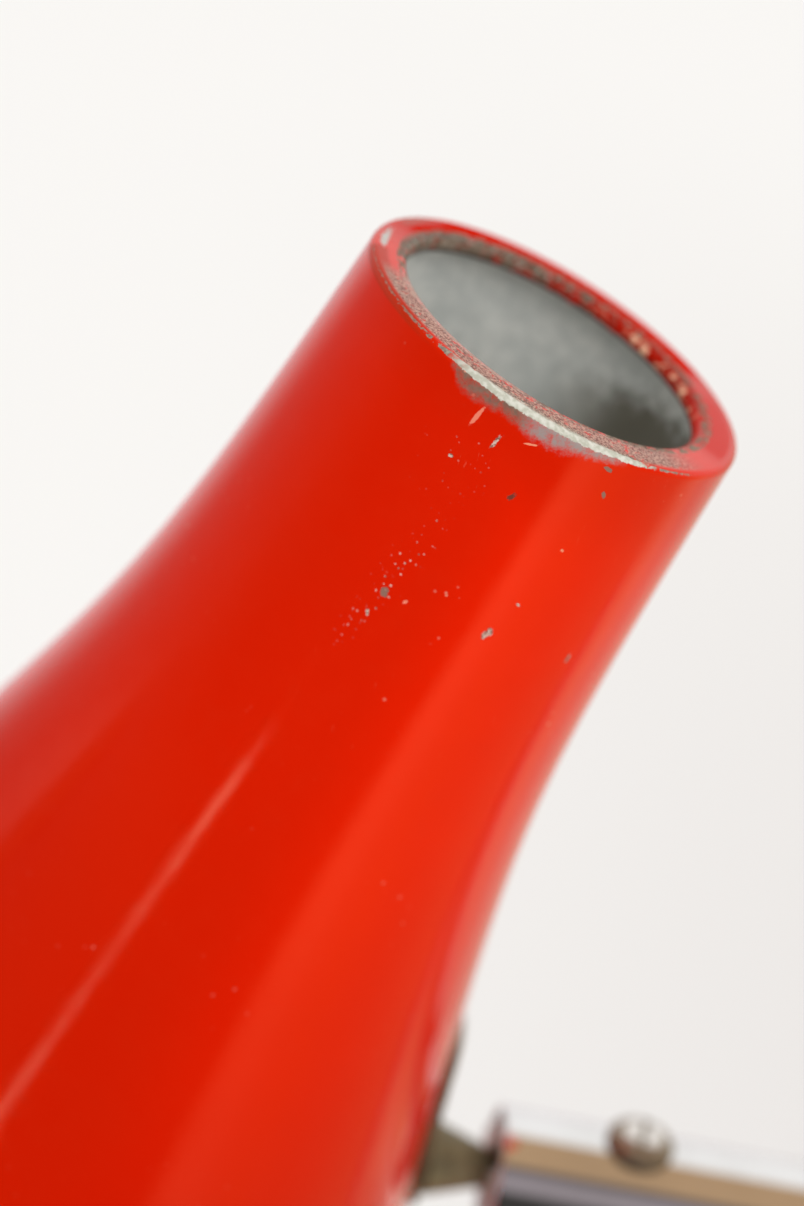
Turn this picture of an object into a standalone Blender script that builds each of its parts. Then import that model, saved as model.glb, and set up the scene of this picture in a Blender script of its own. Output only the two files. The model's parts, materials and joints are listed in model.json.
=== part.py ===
"""Adjustable table lamp with a turned shade, modelled at real size in metres, +Z up.

A spun shade with an open, rolled-in neck hangs beside the end of a bent chrome
tube.  A saddle plate and a hollow cone join it to a knuckle inside the tube: the
shade tilts on two trunnion pins and rolls about the tube.  The tube turns in a
bush in a weighted round base.  Origin: on the column's axis, on the table.  The
arm reaches towards -X and the mains cable leaves the base towards +X.
Lengths below are in millimetres; UNIT turns them into metres.
"""

import math

import bmesh
import bpy
from mathutils import Vector

for old in list(bpy.data.objects):
    bpy.data.objects.remove(old, do_unlink=True)

UNIT = 0.001
GAP = 0.3  # between pieces that touch

# ---- driving dimensions ---------------------------------------------------------
ARM_HEIGHT = 280.0
TUBE_R, TUBE_WALL = 11.0, 1.2
TUBE_MOUTH_X = -200.0
TUBE_FOOT_Z = 11.0
BEND_R = 60.0
PIVOT_INSET = 3.5  # pivot pins behind the tube's mouth
JOINT_GAP = 13.0  # shade surface to tube mouth

NECK_R, NECK_TAPER = 30.4, 0.055
FLARE, FLARE_START, FLARE_BLEND = 0.245, 66.0, 14.0
SHADE_DEPTH, SHADE_WALL = 205.0, 1.2
APERTURE_R, LIP_DROP = 24.0, 3.2
JOINT_DEPTH = 141.3  # joint below the rim, along the shade's axis

BASE_R, BASE_X, BASE_TOP = 95.0, -45.0, 30.0
SWITCH_X, SWITCH_Y = -62.0, -60.0
FELT_T = 2.5
CABLE_Z = 8.0  # where the mains cable leaves the base


# ---- frame of the shade ---------------------------------------------------------
def shade_radius(depth):
    """Outer radius at a depth below the rim: a nearly straight neck blending into a cone."""
    swell = math.log1p(math.exp((depth - FLARE_START) / FLARE_BLEND))
    return NECK_R + NECK_TAPER * depth + FLARE * FLARE_BLEND * swell


def shade_slope(depth):
    """Angle between the shade's outer surface and its axis."""
    return math.atan(NECK_TAPER + FLARE / (1 + math.exp((FLARE_START - depth) / FLARE_BLEND)))


LEAN = shade_slope(JOINT_DEPTH)  # brings the shade's surface upright at the joint
UP = Vector((math.sin(LEAN), 0, math.cos(LEAN)))
OUT = Vector((math.cos(LEAN), 0, -math.sin(LEAN)))
JOINT = Vector((TUBE_MOUTH_X - JOINT_GAP, 0, ARM_HEIGHT))
RIM = JOINT + UP * JOINT_DEPTH - OUT * shade_radius(JOINT_DEPTH)
PIVOT_X = TUBE_MOUTH_X + PIVOT_INSET

UPRIGHT = (0, 0, 0)
ALONG_X = (0, math.radians(90), 0)  # the object's Z lies along +X
ALONG_Y = (math.radians(-90), 0, 0)  # the object's Z lies along +Y
LEANING = (0, LEAN, 0)  # the object's Z lies along the shade's axis
ORIGIN = (0, 0, 0)


def in_shade(outward, y, height):
    """World point from shade coordinates: outwards to the joint, across, and up from the rim."""
    return RIM + OUT * outward + Vector((0, y, 0)) + UP * height


def on_shade(depth, across, lift):
    """World point at an arc length from the joint's line, lifted off the outer surface."""
    radius = shade_radius(depth)
    angle = across / radius
    slope = shade_slope(depth)
    radius += lift * math.cos(slope)
    return in_shade(
        radius * math.cos(angle), radius * math.sin(angle), -depth + lift * math.sin(slope)
    )


def from_pivot(x, y, z):
    return Vector((PIVOT_X, 0, ARM_HEIGHT)) + Vector((x, y, z))


# ---- collections, materials -----------------------------------------------------
PARTS = bpy.data.collections.new("adjustable_table_lamp")
CUTTERS = bpy.data.collections.new("cutters")
for collection in (PARTS, CUTTERS):
    bpy.context.scene.collection.children.link(collection)

# finish: base colour, roughness, metallic
FINISHES = {
    "red_enamel": ((0.72, 0.02, 0.003), 0.25, 0.0),
    "patinated_brass": ((0.17, 0.12, 0.065), 0.5, 0.9),
    "chrome": ((0.75, 0.74, 0.74), 0.08, 1.0),
    "brass": ((0.55, 0.38, 0.15), 0.3, 1.0),
    "steel": ((0.5, 0.5, 0.5), 0.35, 1.0),
    "cast_iron": ((0.06, 0.06, 0.06), 0.8, 0.6),
    "bakelite": ((0.02, 0.014, 0.01), 0.3, 0.0),
    "ceramic": ((0.75, 0.72, 0.66), 0.4, 0.0),
    "frosted_glass": ((0.85, 0.85, 0.82), 0.35, 0.0),
    "black_glass": ((0.01, 0.01, 0.012), 0.1, 0.0),
    "solder": ((0.45, 0.45, 0.45), 0.4, 1.0),
    "cap_metal": ((0.65, 0.62, 0.55), 0.35, 1.0),
    "felt": ((0.03, 0.09, 0.05), 1.0, 0.0),
    "fibre": ((0.25, 0.1, 0.06), 0.7, 0.0),
    "rubber": ((0.02, 0.02, 0.02), 0.7, 0.0),
    "cable_sheath": ((0.03, 0.03, 0.03), 0.45, 0.0),
}


def material(piece, finish):
    """Each piece has its own material, made from its finish."""
    colour, roughness, metallic = FINISHES[finish]
    mat = bpy.data.materials.new(f"{piece}_{finish}")
    mat.use_nodes = True
    shader = mat.node_tree.nodes["Principled BSDF"]
    shader.inputs["Base Color"].default_value = (*colour, 1)
    shader.inputs["Roughness"].default_value = roughness
    shader.inputs["Metallic"].default_value = metallic
    return mat


# ---- moving frames --------------------------------------------------------------
def empty(name, at):
    obj = bpy.data.objects.new(name, None)
    obj.location = Vector(at) * UNIT
    PARTS.objects.link(obj)
    return obj


BASE = empty("base_frame", ORIGIN)
STAND = empty("stand_axis", ORIGIN)
KNUCKLE = empty("roll_axis", from_pivot(0, 0, 0))
HEAD = empty("tilt_axis", from_pivot(0, 0, 0))
BUTTON = empty("button_axis", (SWITCH_X, SWITCH_Y, BASE_TOP))


# ---- making pieces --------------------------------------------------------------
# A piece has a finish and a parent frame; without them it is a hidden cutter.
def add(name, mesh, at, turn, finish, parent):
    obj = bpy.data.objects.new(name, mesh)
    obj.rotation_euler = turn
    obj.location = Vector(at) * UNIT
    if finish is None:
        CUTTERS.objects.link(obj)
        obj.hide_render = True
        obj.display_type = "WIRE"
    else:
        PARTS.objects.link(obj)
        mesh.materials.append(material(name, finish))
        obj.parent = parent
        obj.location = Vector(at) * UNIT - parent.location
    return obj


def mesh_from(name, bm):
    mesh = bpy.data.meshes.new(name)
    bm.to_mesh(mesh)
    bm.free()
    return mesh


def smooth_with_edges(mesh, degrees):
    mesh.shade_smooth()
    mesh.set_sharp_from_angle(angle=math.radians(degrees))


def volume(obj):
    """Signed volume of the object with its modifiers; negative when it is inside out."""
    held = obj.evaluated_get(bpy.context.evaluated_depsgraph_get())
    bm = bmesh.new()
    bm.from_mesh(held.to_mesh())
    held.to_mesh_clear()
    size = bm.calc_volume(signed=True)
    bm.free()
    return size


def turned(name, outline, at, turn=UPRIGHT, finish=None, parent=None, steps=24):
    """A closed outline of (radius, height) turned about the object's own Z."""
    bm = bmesh.new()
    points = [bm.verts.new((radius * UNIT, 0, height * UNIT)) for radius, height in outline]
    for first, second in zip(points, points[1:] + points[:1]):
        if first.co.x > 0 or second.co.x > 0:  # no edge along the axis itself
            bm.edges.new((first, second))
    obj = add(name, mesh_from(name, bm), at, turn, finish, parent)
    screw = obj.modifiers.new("Turn", "SCREW")
    screw.axis = "Z"
    screw.angle = math.tau
    screw.steps = screw.render_steps = steps
    screw.use_merge_vertices = True
    screw.merge_threshold = 1e-5
    screw.use_smooth_shade = True
    if volume(obj) < 0:
        screw.use_normal_flip = True
    return obj


def rod(name, radius, length, at, turn=UPRIGHT, finish=None, parent=None, segments=20):
    """A cylinder centred on at, along the object's own Z."""
    bm = bmesh.new()
    bmesh.ops.create_cone(
        bm, cap_ends=True, segments=segments,
        radius1=radius * UNIT, radius2=radius * UNIT, depth=length * UNIT,
    )
    mesh = mesh_from(name, bm)
    smooth_with_edges(mesh, 40)
    return add(name, mesh, at, turn, finish, parent)


def box(name, size, at, turn=UPRIGHT):
    """A block for shaping other pieces."""
    bm = bmesh.new()
    bmesh.ops.create_cube(bm, size=1.0)
    bmesh.ops.scale(bm, vec=Vector(size) * UNIT, verts=bm.verts)
    return add(name, mesh_from(name, bm), at, turn, None, None)


def boolean(obj, other, operation="DIFFERENCE"):
    step = obj.modifiers.new(operation.title(), "BOOLEAN")
    step.operation = operation
    step.object = other


def drill(obj, name, radius, length, at, turn=UPRIGHT, segments=20):
    boolean(obj, rod(name, radius, length, at, turn, segments=segments))


def mill(obj, name, size, at, turn=UPRIGHT):
    boolean(obj, box(name, size, at, turn))


def nut(name, across, height, bore, at, turn, finish, parent):
    """A hexagon nut, given across its flats."""
    obj = rod(name, across / math.sqrt(3), height, at, turn, finish, parent, segments=6)
    drill(obj, name + "_bore", bore, height + 4, at, turn, segments=16)


def wire(name, points, radius, finish=None, parent=None, resolution=1):
    """A round bar with flat ends through world points."""
    data = bpy.data.curves.new(name, "CURVE")
    data.dimensions = "3D"
    data.bevel_depth = radius * UNIT
    data.bevel_resolution = resolution
    data.use_fill_caps = True
    spline = data.splines.new("POLY")
    spline.points.add(len(points) - 1)
    for knot, point in zip(spline.points, points):
        knot.co = (*(Vector(point) * UNIT), 1)
    guide = bpy.data.objects.new(name + "_guide", data)
    PARTS.objects.link(guide)
    graph = bpy.context.evaluated_depsgraph_get()
    mesh = bpy.data.meshes.new_from_object(guide.evaluated_get(graph))
    origin = parent.location if parent else Vector(ORIGIN)
    bm = bmesh.new()
    bm.from_mesh(mesh)
    bmesh.ops.remove_doubles(bm, verts=bm.verts, dist=1e-6)
    bmesh.ops.translate(bm, vec=-origin, verts=bm.verts)
    bm.to_mesh(mesh)
    bm.free()
    bpy.data.objects.remove(guide, do_unlink=True)
    mesh.materials.clear()
    smooth_with_edges(mesh, 50)
    return add(name, mesh, origin / UNIT, UPRIGHT, finish, parent)


def smooth_path(knots, per_span):
    """Catmull-Rom points through the knots."""
    knots = [Vector(knot) for knot in knots]
    padded = [knots[0] * 2 - knots[1], *knots, knots[-1] * 2 - knots[-2]]
    path = []
    for i in range(1, len(padded) - 2):
        before, start, end, after = padded[i - 1 : i + 3]
        for k in range(per_span):
            part = k / per_span
            path.append(0.5 * (
                2 * start
                + (end - before) * part
                + (2 * before - 5 * start + 4 * end - after) * part**2
                + (3 * start - before - 3 * end + after) * part**3
            ))
    return [*path, knots[-1]]


def sheet(name, rows, columns, where, thickness, finish, parent):
    """A grid bent by the rule where(x, y), x and y from 0 to 1, thickened outwards."""
    bm = bmesh.new()
    bmesh.ops.create_grid(bm, x_segments=columns, y_segments=rows, size=0.5)
    origin = parent.location
    for vert in bm.verts:
        vert.co = Vector(where(vert.co.x + 0.5, vert.co.y + 0.5)) * UNIT - origin
    mesh = mesh_from(name, bm)
    mesh.shade_smooth()
    obj = add(name, mesh, origin / UNIT, UPRIGHT, finish, parent)
    solid = obj.modifiers.new("Sheet", "SOLIDIFY")
    solid.thickness = thickness * UNIT
    solid.offset = 1.0
    solid.use_even_offset = True
    if volume(obj) < 0:
        solid.use_flip_normals = True
    return obj


# ---- joint fasteners shared by the shade, saddle plate and bracket --------------
STUD_R = 4.0  # outside of the cone's hollow stud
STUD_HOLE_R = STUD_R + GAP
SCREW_HOLE_R = 1.9
PLATE_SCREW_UP = 22.5  # plate screw above the stud

SCREW_DEPTH = JOINT_DEPTH - PLATE_SCREW_UP * math.cos(LEAN)
SCREW_AT = on_shade(SCREW_DEPTH, 0, 0)
SCREW_SLOPE = shade_slope(SCREW_DEPTH)
SCREW_OUT = OUT * math.cos(SCREW_SLOPE) + UP * math.sin(SCREW_SLOPE)
SCREW_TURN = (0, math.pi / 2 + LEAN - SCREW_SLOPE, 0)  # the object's Z is the surface normal


# ---- shade ----------------------------------------------------------------------
def shade_outline():
    """(radius, height above the rim): down the outside, round the mouth, up the inside."""
    wall = SHADE_WALL
    depths = [2.0, 30, 50, 66, 84, 120, SHADE_DEPTH - 3.4]
    outer = [
        (APERTURE_R + 0.7, -0.35), (APERTURE_R + 1.8, 0.0),
        (NECK_R - 2.0, -0.1), (NECK_R - 0.6, -0.42), (NECK_R, -1.0),
    ]
    outer += [(shade_radius(depth), -depth) for depth in depths]
    mouth = shade_radius(SHADE_DEPTH)
    bead = [
        (mouth + 0.5, -SHADE_DEPTH + 1.6), (mouth - 0.4, -SHADE_DEPTH),
        (mouth - 2.2, -SHADE_DEPTH), (mouth - 2.9, -SHADE_DEPTH + 2.2),
    ]
    inner = []
    for depth in reversed(depths[1:-1]):
        slope = shade_slope(depth)
        inner.append(
            (shade_radius(depth) - wall * math.cos(slope), -depth - wall * math.sin(slope))
        )
    inner += [
        (NECK_R - wall, -3.0), (NECK_R - wall - 1.2, -wall), (APERTURE_R + wall + 0.4, -wall),
    ]
    lip = [(APERTURE_R + wall, -LIP_DROP), (APERTURE_R, -LIP_DROP), (APERTURE_R, -1.3)]
    return outer + bead + inner + lip


def build_shade():
    shade = turned("shade", shade_outline(), RIM, LEANING, "red_enamel", HEAD, steps=40)
    drill(shade, "shade_stud_hole", 4.5, 14, JOINT, ALONG_X)
    drill(shade, "shade_screw_hole", SCREW_HOLE_R, 12, SCREW_AT, SCREW_TURN, segments=14)


# ---- saddle plate and its screw -------------------------------------------------
PLATE_T, PLATE_HALF_WIDTH = 1.2, 10.5
PLATE_LOW, PLATE_HIGH = -6.5, 29.0  # ends of the plate, from the stud
PLATE_CORNER = 8.0
PLATE_FACE = GAP + PLATE_T  # outer face, off the shade

# (radius, height off the shade); the sink widens by 1.58 for each millimetre of height
SINK_OUTLINE = [(0, 2.2), (4.96, 2.2), (SCREW_HOLE_R, 0.26), (SCREW_HOLE_R, -3.0), (0, -3.0)]
PLATE_SCREW_OUTLINE = [
    (0, PLATE_FACE + 0.1), (2.6, PLATE_FACE + 0.1), (3.0, PLATE_FACE - 0.15),
    (1.5, GAP + 0.1), (1.5, -9.5), (0, -9.5),
]


def plate_point(x, y):
    rise = PLATE_LOW + (PLATE_HIGH - PLATE_LOW) * y
    to_end = min(rise - PLATE_LOW, PLATE_HIGH - rise)
    width = PLATE_HALF_WIDTH
    if to_end < PLATE_CORNER:
        width -= PLATE_CORNER * (1 - math.sqrt(1 - (1 - to_end / PLATE_CORNER) ** 2))
    return on_shade(JOINT_DEPTH - rise * math.cos(LEAN), (x - 0.5) * 2 * width, GAP)


def build_saddle():
    saddle = sheet("saddle_plate", 10, 4, plate_point, PLATE_T, "patinated_brass", HEAD)
    drill(saddle, "plate_stud_hole", STUD_HOLE_R, 14, JOINT, ALONG_X)
    boolean(saddle, turned("saddle_screw_sink", SINK_OUTLINE, SCREW_AT, SCREW_TURN, steps=16))


def build_plate_screw():
    screw = turned("plate_screw", PLATE_SCREW_OUTLINE, SCREW_AT, SCREW_TURN,
                   "patinated_brass", HEAD, steps=16)
    mill(screw, "plate_screw_slot", (9, 0.8, 1.4),
         SCREW_AT + SCREW_OUT * (PLATE_FACE + 0.3), SCREW_TURN)


# ---- swivel cone ----------------------------------------------------------------
CONE_BASE, CONE_END = PLATE_FACE + GAP, 11.6  # from the shade's surface
STUD_LENGTH = 13.0
PIN_HOLE_R = 1.35
EAR_R, EAR_IN, EAR_OUT = 2.8, 1.75, 2.9  # radius about the pivot; faces across the arm

# (radius, distance from the shade's surface towards the tube)
CONE_OUTLINE = [
    (3.5, CONE_END), (6.5, CONE_BASE + 0.6), (6.6, CONE_BASE), (STUD_R, CONE_BASE),
    (STUD_R, -STUD_LENGTH), (1.9, -STUD_LENGTH), (1.9, CONE_END),
]


def build_cone():
    """A cone with a hollow stud, and two ears on its small end that reach the pivot pins."""
    cone = turned("swivel_cone", CONE_OUTLINE, JOINT, ALONG_X, "patinated_brass", HEAD, steps=20)
    thickness = EAR_OUT - EAR_IN
    reach = PIVOT_X - (JOINT.x + CONE_END) + 1.4
    for side in (-1, 1):
        y = side * (EAR_IN + EAR_OUT) / 2
        ear = rod(f"ear_{side}", EAR_R, thickness, from_pivot(0, y, 0), ALONG_Y)
        arm = box(f"ear_arm_{side}", (reach, thickness, 2 * EAR_R - 1.8),
                  from_pivot(-reach / 2, y, 0))
        boolean(cone, ear, "UNION")
        boolean(cone, arm, "UNION")
    drill(cone, "ear_pin_holes", PIN_HOLE_R, 12, from_pivot(0, 0, 0), ALONG_Y, segments=14)


# ---- lampholder bracket: a strap up the inside of the shade, then to its axis ---
STRAP_T, STRAP_GAP, STRAP_HALF_WIDTH = 1.5, 0.8, 8.0
STRAP_LIFT = -(SHADE_WALL + STRAP_GAP + STRAP_T)  # inner face, off the shade's outside
LEG_LOW, LEG_HIGH = JOINT_DEPTH + 9.0, 84.0  # depths of the leg along the wall
LEG_SHARE, BEND_SHARE = 0.62, 0.4  # of the strap's rows; of the rows that remain
HOLDER_Z = -66.0  # underside of the level leg, from the rim
NIPPLE_R = 4.9
NIPPLE_HOLE_R = NIPPLE_R + GAP


def strap_point(x, y):
    """Inner face of the strap; the sheet thickens towards the wall."""
    across = (x - 0.5) * 2 * STRAP_HALF_WIDTH
    if y <= LEG_SHARE:
        depth = LEG_LOW + (LEG_HIGH - LEG_LOW) * y / LEG_SHARE
        return on_shade(depth, across, STRAP_LIFT)
    rest = (y - LEG_SHARE) / (1 - LEG_SHARE)
    corner = in_shade(27.0, across, HOLDER_Z)
    if rest < BEND_SHARE:  # a quadratic curve about the knee
        part = rest / BEND_SHARE
        top = on_shade(LEG_HIGH, across, STRAP_LIFT)
        knee = in_shade(32.3, across, HOLDER_Z - 2.0)
        return (1 - part) ** 2 * top + 2 * part * (1 - part) * knee + part**2 * corner
    end = in_shade(-8.5, across, HOLDER_Z)
    return corner.lerp(end, (rest - BEND_SHARE) / (1 - BEND_SHARE))


def build_bracket():
    strap = sheet("holder_bracket", 14, 2, strap_point, STRAP_T, "steel", HEAD)
    drill(strap, "strap_stud_hole", STUD_HOLE_R, 20, JOINT, ALONG_X)
    drill(strap, "strap_screw_hole", SCREW_HOLE_R, 14, SCREW_AT, SCREW_TURN, segments=14)
    drill(strap, "strap_nipple_hole", NIPPLE_HOLE_R, 10, in_shade(0, 0, HOLDER_Z), LEANING)


def build_inside_fasteners():
    """Washer and nut on the stud, nut on the plate screw, nut on the lampholder's nipple."""
    washer_t, washer_gap = 1.2, 0.75  # the washer bridges the strap's curve
    stud_nut_t, screw_nut_t, nipple_nut_t = 4.0, 2.4, 3.0
    washer_face = JOINT.x - SHADE_WALL - STRAP_GAP - STRAP_T - washer_gap
    half = washer_t / 2
    washer = [(6.0, half), (6.0, -half), (STUD_HOLE_R, -half), (STUD_HOLE_R, half)]
    turned("stud_washer", washer, (washer_face - half, 0, ARM_HEIGHT), ALONG_X,
           "steel", HEAD, steps=16)
    nut_x = washer_face - washer_t - GAP - stud_nut_t / 2
    nut("stud_nut", 13.0, stud_nut_t, STUD_HOLE_R, (nut_x, 0, ARM_HEIGHT), ALONG_X,
        "brass", HEAD)
    nut_lift = STRAP_LIFT - GAP - screw_nut_t / 2 - 0.2
    nut("plate_screw_nut", 5.5, screw_nut_t, 1.75, SCREW_AT + SCREW_OUT * nut_lift, SCREW_TURN,
        "steel", HEAD)
    nut("nipple_nut", 14.0, nipple_nut_t, NIPPLE_HOLE_R,
        in_shade(0, 0, HOLDER_Z + STRAP_T + GAP + nipple_nut_t / 2), LEANING, "brass", HEAD)


# ---- lampholder and bulb, all on the shade's axis -------------------------------
INSERT_TOP = -84.0
TERMINAL_Y = 8.5

# name: finish, steps, outline of (radius, height above the rim)
HOLDER_PIECES = {
    "holder_nipple": ("brass", 20, [(NIPPLE_R, -58), (NIPPLE_R, -78), (3.6, -78), (3.6, -58)]),
    "holder_cap": ("bakelite", 20, [
        (7.0, -66.3), (14.0, -68.5), (18.0, -74.0), (19.0, -80.0), (19.0, -90.0),
        (16.7, -90.0), (16.7, -80.5), (13.0, -72.5), (5.2, -70.5), (5.2, -66.3),
    ]),
    "holder_skirt": ("bakelite", 20, [
        (16.4, -83.0), (16.4, -90.3), (19.2, -90.3), (19.2, -95.0), (18.4, -98.0),
        (18.4, -118.0), (19.4, -122.0), (17.0, -122.0), (14.9, -118.0), (14.9, -96.3),
        (16.0, -94.3), (16.0, -83.0),
    ]),
    "holder_ring": ("bakelite", 20, [
        (22.0, -100.0), (22.0, -107.0), (18.7, -107.0), (18.7, -100.0),
    ]),
    "holder_insert": ("ceramic", 24, [
        (0, INSERT_TOP), (15.6, INSERT_TOP), (15.6, -94.0), (0, -94.0),
    ]),
    "centre_contact": ("brass", 16, [
        (0, -94.4), (4.5, -94.4), (4.5, -95.2), (2.6, -96.6), (0, -96.8),
    ]),
    "thread_shell": ("brass", 20, [
        (14.4, -94.6), (14.4, -98.5), (14.0, -101.5), (14.4, -104.5), (14.0, -107.5),
        (14.4, -110.5), (14.4, -116.0), (13.9, -116.0), (13.9, -110.5), (13.5, -107.5),
        (13.9, -104.5), (13.5, -101.5), (13.9, -98.5), (13.9, -94.6),
    ]),
    "bulb_contact": ("solder", 14, [
        (0, -97.1), (2.4, -97.4), (3.2, -98.2), (3.2, -98.8), (0, -98.8),
    ]),
    "bulb_insulator": ("black_glass", 20, [
        (0, -99.1), (5.0, -99.1), (9.0, -101.0), (9.0, -102.6), (0, -102.6),
    ]),
    "bulb_cap": ("cap_metal", 20, [
        (9.3, -101.3), (12.2, -103.0), (13.1, -106.5), (12.6, -109.5), (13.1, -112.5),
        (13.1, -124.0), (13.4, -125.0), (12.7, -125.0), (12.4, -114.5), (12.0, -107.0),
        (9.3, -103.0),
    ]),
}
TERMINAL_OUTLINE = [
    (0, -80.8), (2.6, -80.8), (2.9, -81.4), (2.9, -83.6), (1.4, -83.6), (1.4, -87.0), (0, -87.0),
]


def build_holder_and_cap():
    pieces = {
        name: turned(name, outline, RIM, LEANING, finish, HEAD, steps)
        for name, (finish, steps, outline) in HOLDER_PIECES.items()
    }
    for side, name in ((-1, "terminal_screw_a"), (1, "terminal_screw_b")):
        y = side * TERMINAL_Y
        drill(pieces["holder_insert"], name + "_hole", 1.75, 8, in_shade(0, y, INSERT_TOP),
              LEANING, segments=12)
        screw = turned(name, TERMINAL_OUTLINE, RIM + Vector((0, y, 0)), LEANING,
                       "brass", HEAD, steps=12)
        mill(screw, name + "_slot", (8, 0.7, 1.2), in_shade(0, y, -80.9), LEANING)


def build_bulb_glass():
    """A pear-shaped bulb: neck, shoulder and a round end, as a thin shell open at its neck."""
    centre, ball_r, wall = -161.0, 29.0, 0.8
    outer = [(11.7, -107.0), (11.9, -122.0), (13.0, -128.0)]
    for k in range(7):
        angle = math.radians(62 - k * 24)
        outer.append((ball_r * math.cos(angle), centre + ball_r * math.sin(angle)))
    outer.append((0.0, centre - ball_r))
    inner = [
        (max(radius - wall, 0.0), height + wall * max(centre - height, 0.0) / ball_r)
        for radius, height in reversed(outer)
    ]
    turned("bulb_glass", outer + inner, RIM, LEANING, "frosted_glass", HEAD, steps=20)


# ---- knuckle inside the tube ----------------------------------------------------
# distances along X from the pivot; the front is towards the shade, -X
SPIGOT_R = TUBE_R - TUBE_WALL - GAP
SPIGOT_FRONT, SPIGOT_BACK = 4.4, 28.0
FORK_BACK, FORK_WIDTH = 4.4, 6.6
FORK_ROUND = 4.4  # the fork is rounded about the pivot, above and below
GROOVE = 20.0  # middle of the retaining screw's groove
GROOVE_HALF_WIDTH, GROOVE_DEPTH = 2.4, 2.4

# (radius, distance behind the pivot)
SPIGOT_OUTLINE = [
    (SPIGOT_R, SPIGOT_BACK - 0.8),
    (SPIGOT_R, GROOVE + GROOVE_HALF_WIDTH),
    (SPIGOT_R - GROOVE_DEPTH, GROOVE + GROOVE_HALF_WIDTH),
    (SPIGOT_R - GROOVE_DEPTH, GROOVE - GROOVE_HALF_WIDTH),
    (SPIGOT_R, GROOVE - GROOVE_HALF_WIDTH),
    (SPIGOT_R, FORK_BACK),
    (SPIGOT_R, -SPIGOT_FRONT + 0.4),
    (SPIGOT_R - 0.5, -SPIGOT_FRONT),
    (2.3, -SPIGOT_FRONT),
    (2.3, SPIGOT_BACK),
    (SPIGOT_R - 0.8, SPIGOT_BACK),
]


def build_spigot():
    pivot = from_pivot(0, 0, 0)
    spigot = turned("fork_spigot", SPIGOT_OUTLINE, pivot, ALONG_X, "steel", KNUCKLE, steps=20)
    mill(spigot, "fork_slot", (FORK_BACK + 8, FORK_WIDTH, 22), from_pivot((FORK_BACK - 8) / 2, 0, 0))
    length = FORK_ROUND + 3.0
    rounder = box("fork_rounder", (length, 24, 24), from_pivot(-length / 2, 0, 0))
    drill(rounder, "fork_rounder_core", FORK_ROUND, 30, pivot, ALONG_Y, segments=24)
    boolean(spigot, rounder)
    for side in (-1, 1):
        mill(spigot, f"fork_cheek_{side}", (FORK_ROUND + 2.0, 24, 8),
             from_pivot((FORK_ROUND - 2.0) / 2 - 0.6, 0, side * (FORK_ROUND + 4.0)))
    drill(spigot, "fork_pin_holes", PIN_HOLE_R, 30, pivot, ALONG_Y, segments=14)
    # a web left in the groove stops the roll at either end
    web = box("groove_web", (5.4, 3.0, 2.6), from_pivot(GROOVE, 0, -(SPIGOT_R - 1.55)))
    boolean(spigot, web, "UNION")


def build_pins_and_joint_cable():
    for side, name in ((-1, "pivot_pin_near"), (1, "pivot_pin_far")):
        rod(name, 1.05, 5.9, from_pivot(0, side * 4.95, 0), ALONG_Y, "steel", KNUCKLE, 14)
    ends = [from_pivot(5.2, 0, 0), from_pivot(SPIGOT_BACK + 1.2, 0, 0)]
    wire("joint_cable", ends, 1.7, "cable_sheath", KNUCKLE)


# ---- arm tube -------------------------------------------------------------------
RETAINING_X = PIVOT_X + GROOVE
RETAINING_R = 2.0

# (radius, height above the arm's axis)
RETAINING_OUTLINE = [
    (0, TUBE_R + 2.8), (5.1, TUBE_R + 2.8), (5.9, TUBE_R + 2.1), (5.9, TUBE_R + 0.35),
    (RETAINING_R, TUBE_R + 0.35), (RETAINING_R, TUBE_R - 3.4), (0, TUBE_R - 3.4),
]


def tube_path(start_x, end_z, bends=9):
    """From start_x along the arm, round the bend and down the column to end_z."""
    path = [(start_x, 0, ARM_HEIGHT)]
    for k in range(bends + 1):
        angle = math.pi / 2 * (1 - k / bends)
        x = -BEND_R + BEND_R * math.cos(angle)
        z = ARM_HEIGHT - BEND_R + BEND_R * math.sin(angle)
        path.append((x, 0, z))
    return [*path, (0, 0, end_z)]


def build_tube():
    path = tube_path(TUBE_MOUTH_X, TUBE_FOOT_Z)
    tube = wire("arm_tube", path, TUBE_R, "chrome", STAND, resolution=5)
    bore_path = tube_path(TUBE_MOUTH_X - 5, TUBE_FOOT_Z - 5)
    boolean(tube, wire("arm_tube_bore", bore_path, TUBE_R - TUBE_WALL, resolution=5))
    drill(tube, "tube_screw_hole", RETAINING_R + GAP, 8,
          (RETAINING_X, 0, ARM_HEIGHT + TUBE_R), segments=16)


def build_retaining_screw():
    screw = turned("retaining_screw", RETAINING_OUTLINE, (RETAINING_X, 0, ARM_HEIGHT), UPRIGHT,
                   "patinated_brass", STAND, steps=18)
    mill(screw, "retaining_slot", (1.5, 14, 2.4), (RETAINING_X, 0, ARM_HEIGHT + TUBE_R + 2.9),
         (0, 0, math.radians(-12)))


def build_column_cable():
    path = tube_path(PIVOT_X + SPIGOT_BACK + 3.0, TUBE_FOOT_Z + 1.0, bends=8)
    wire("column_cable", path, 3.0, "cable_sheath", STAND)


# ---- column foot: collar above the base, ring with a stop lug inside it ---------
COVER_T = 1.2
COVER_UNDER = BASE_TOP - COVER_T
BUSH_R, BUSH_BORE, BUSH_FOOT = 14.2, TUBE_R + 0.25, 14.0
BUSH_HOLE_R = BUSH_R + GAP
BUSH_TOP = BASE_TOP + GAP + 3.0  # top of the bush's flange
RING_BORE = TUBE_R + 0.3
WASHER_Z = BUSH_TOP + GAP
WASHER_TOP = WASHER_Z + 1.0
WASHER_BORE = TUBE_R + 0.4
COLLAR_R = 15.2
COLLAR_Z = WASHER_TOP + GAP
COLLAR_TOP = COLLAR_Z + 9.0
COLLAR_SCREW_Z = COLLAR_Z + 3.8
STOP_X = 16.6  # stop peg from the column's axis

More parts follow.
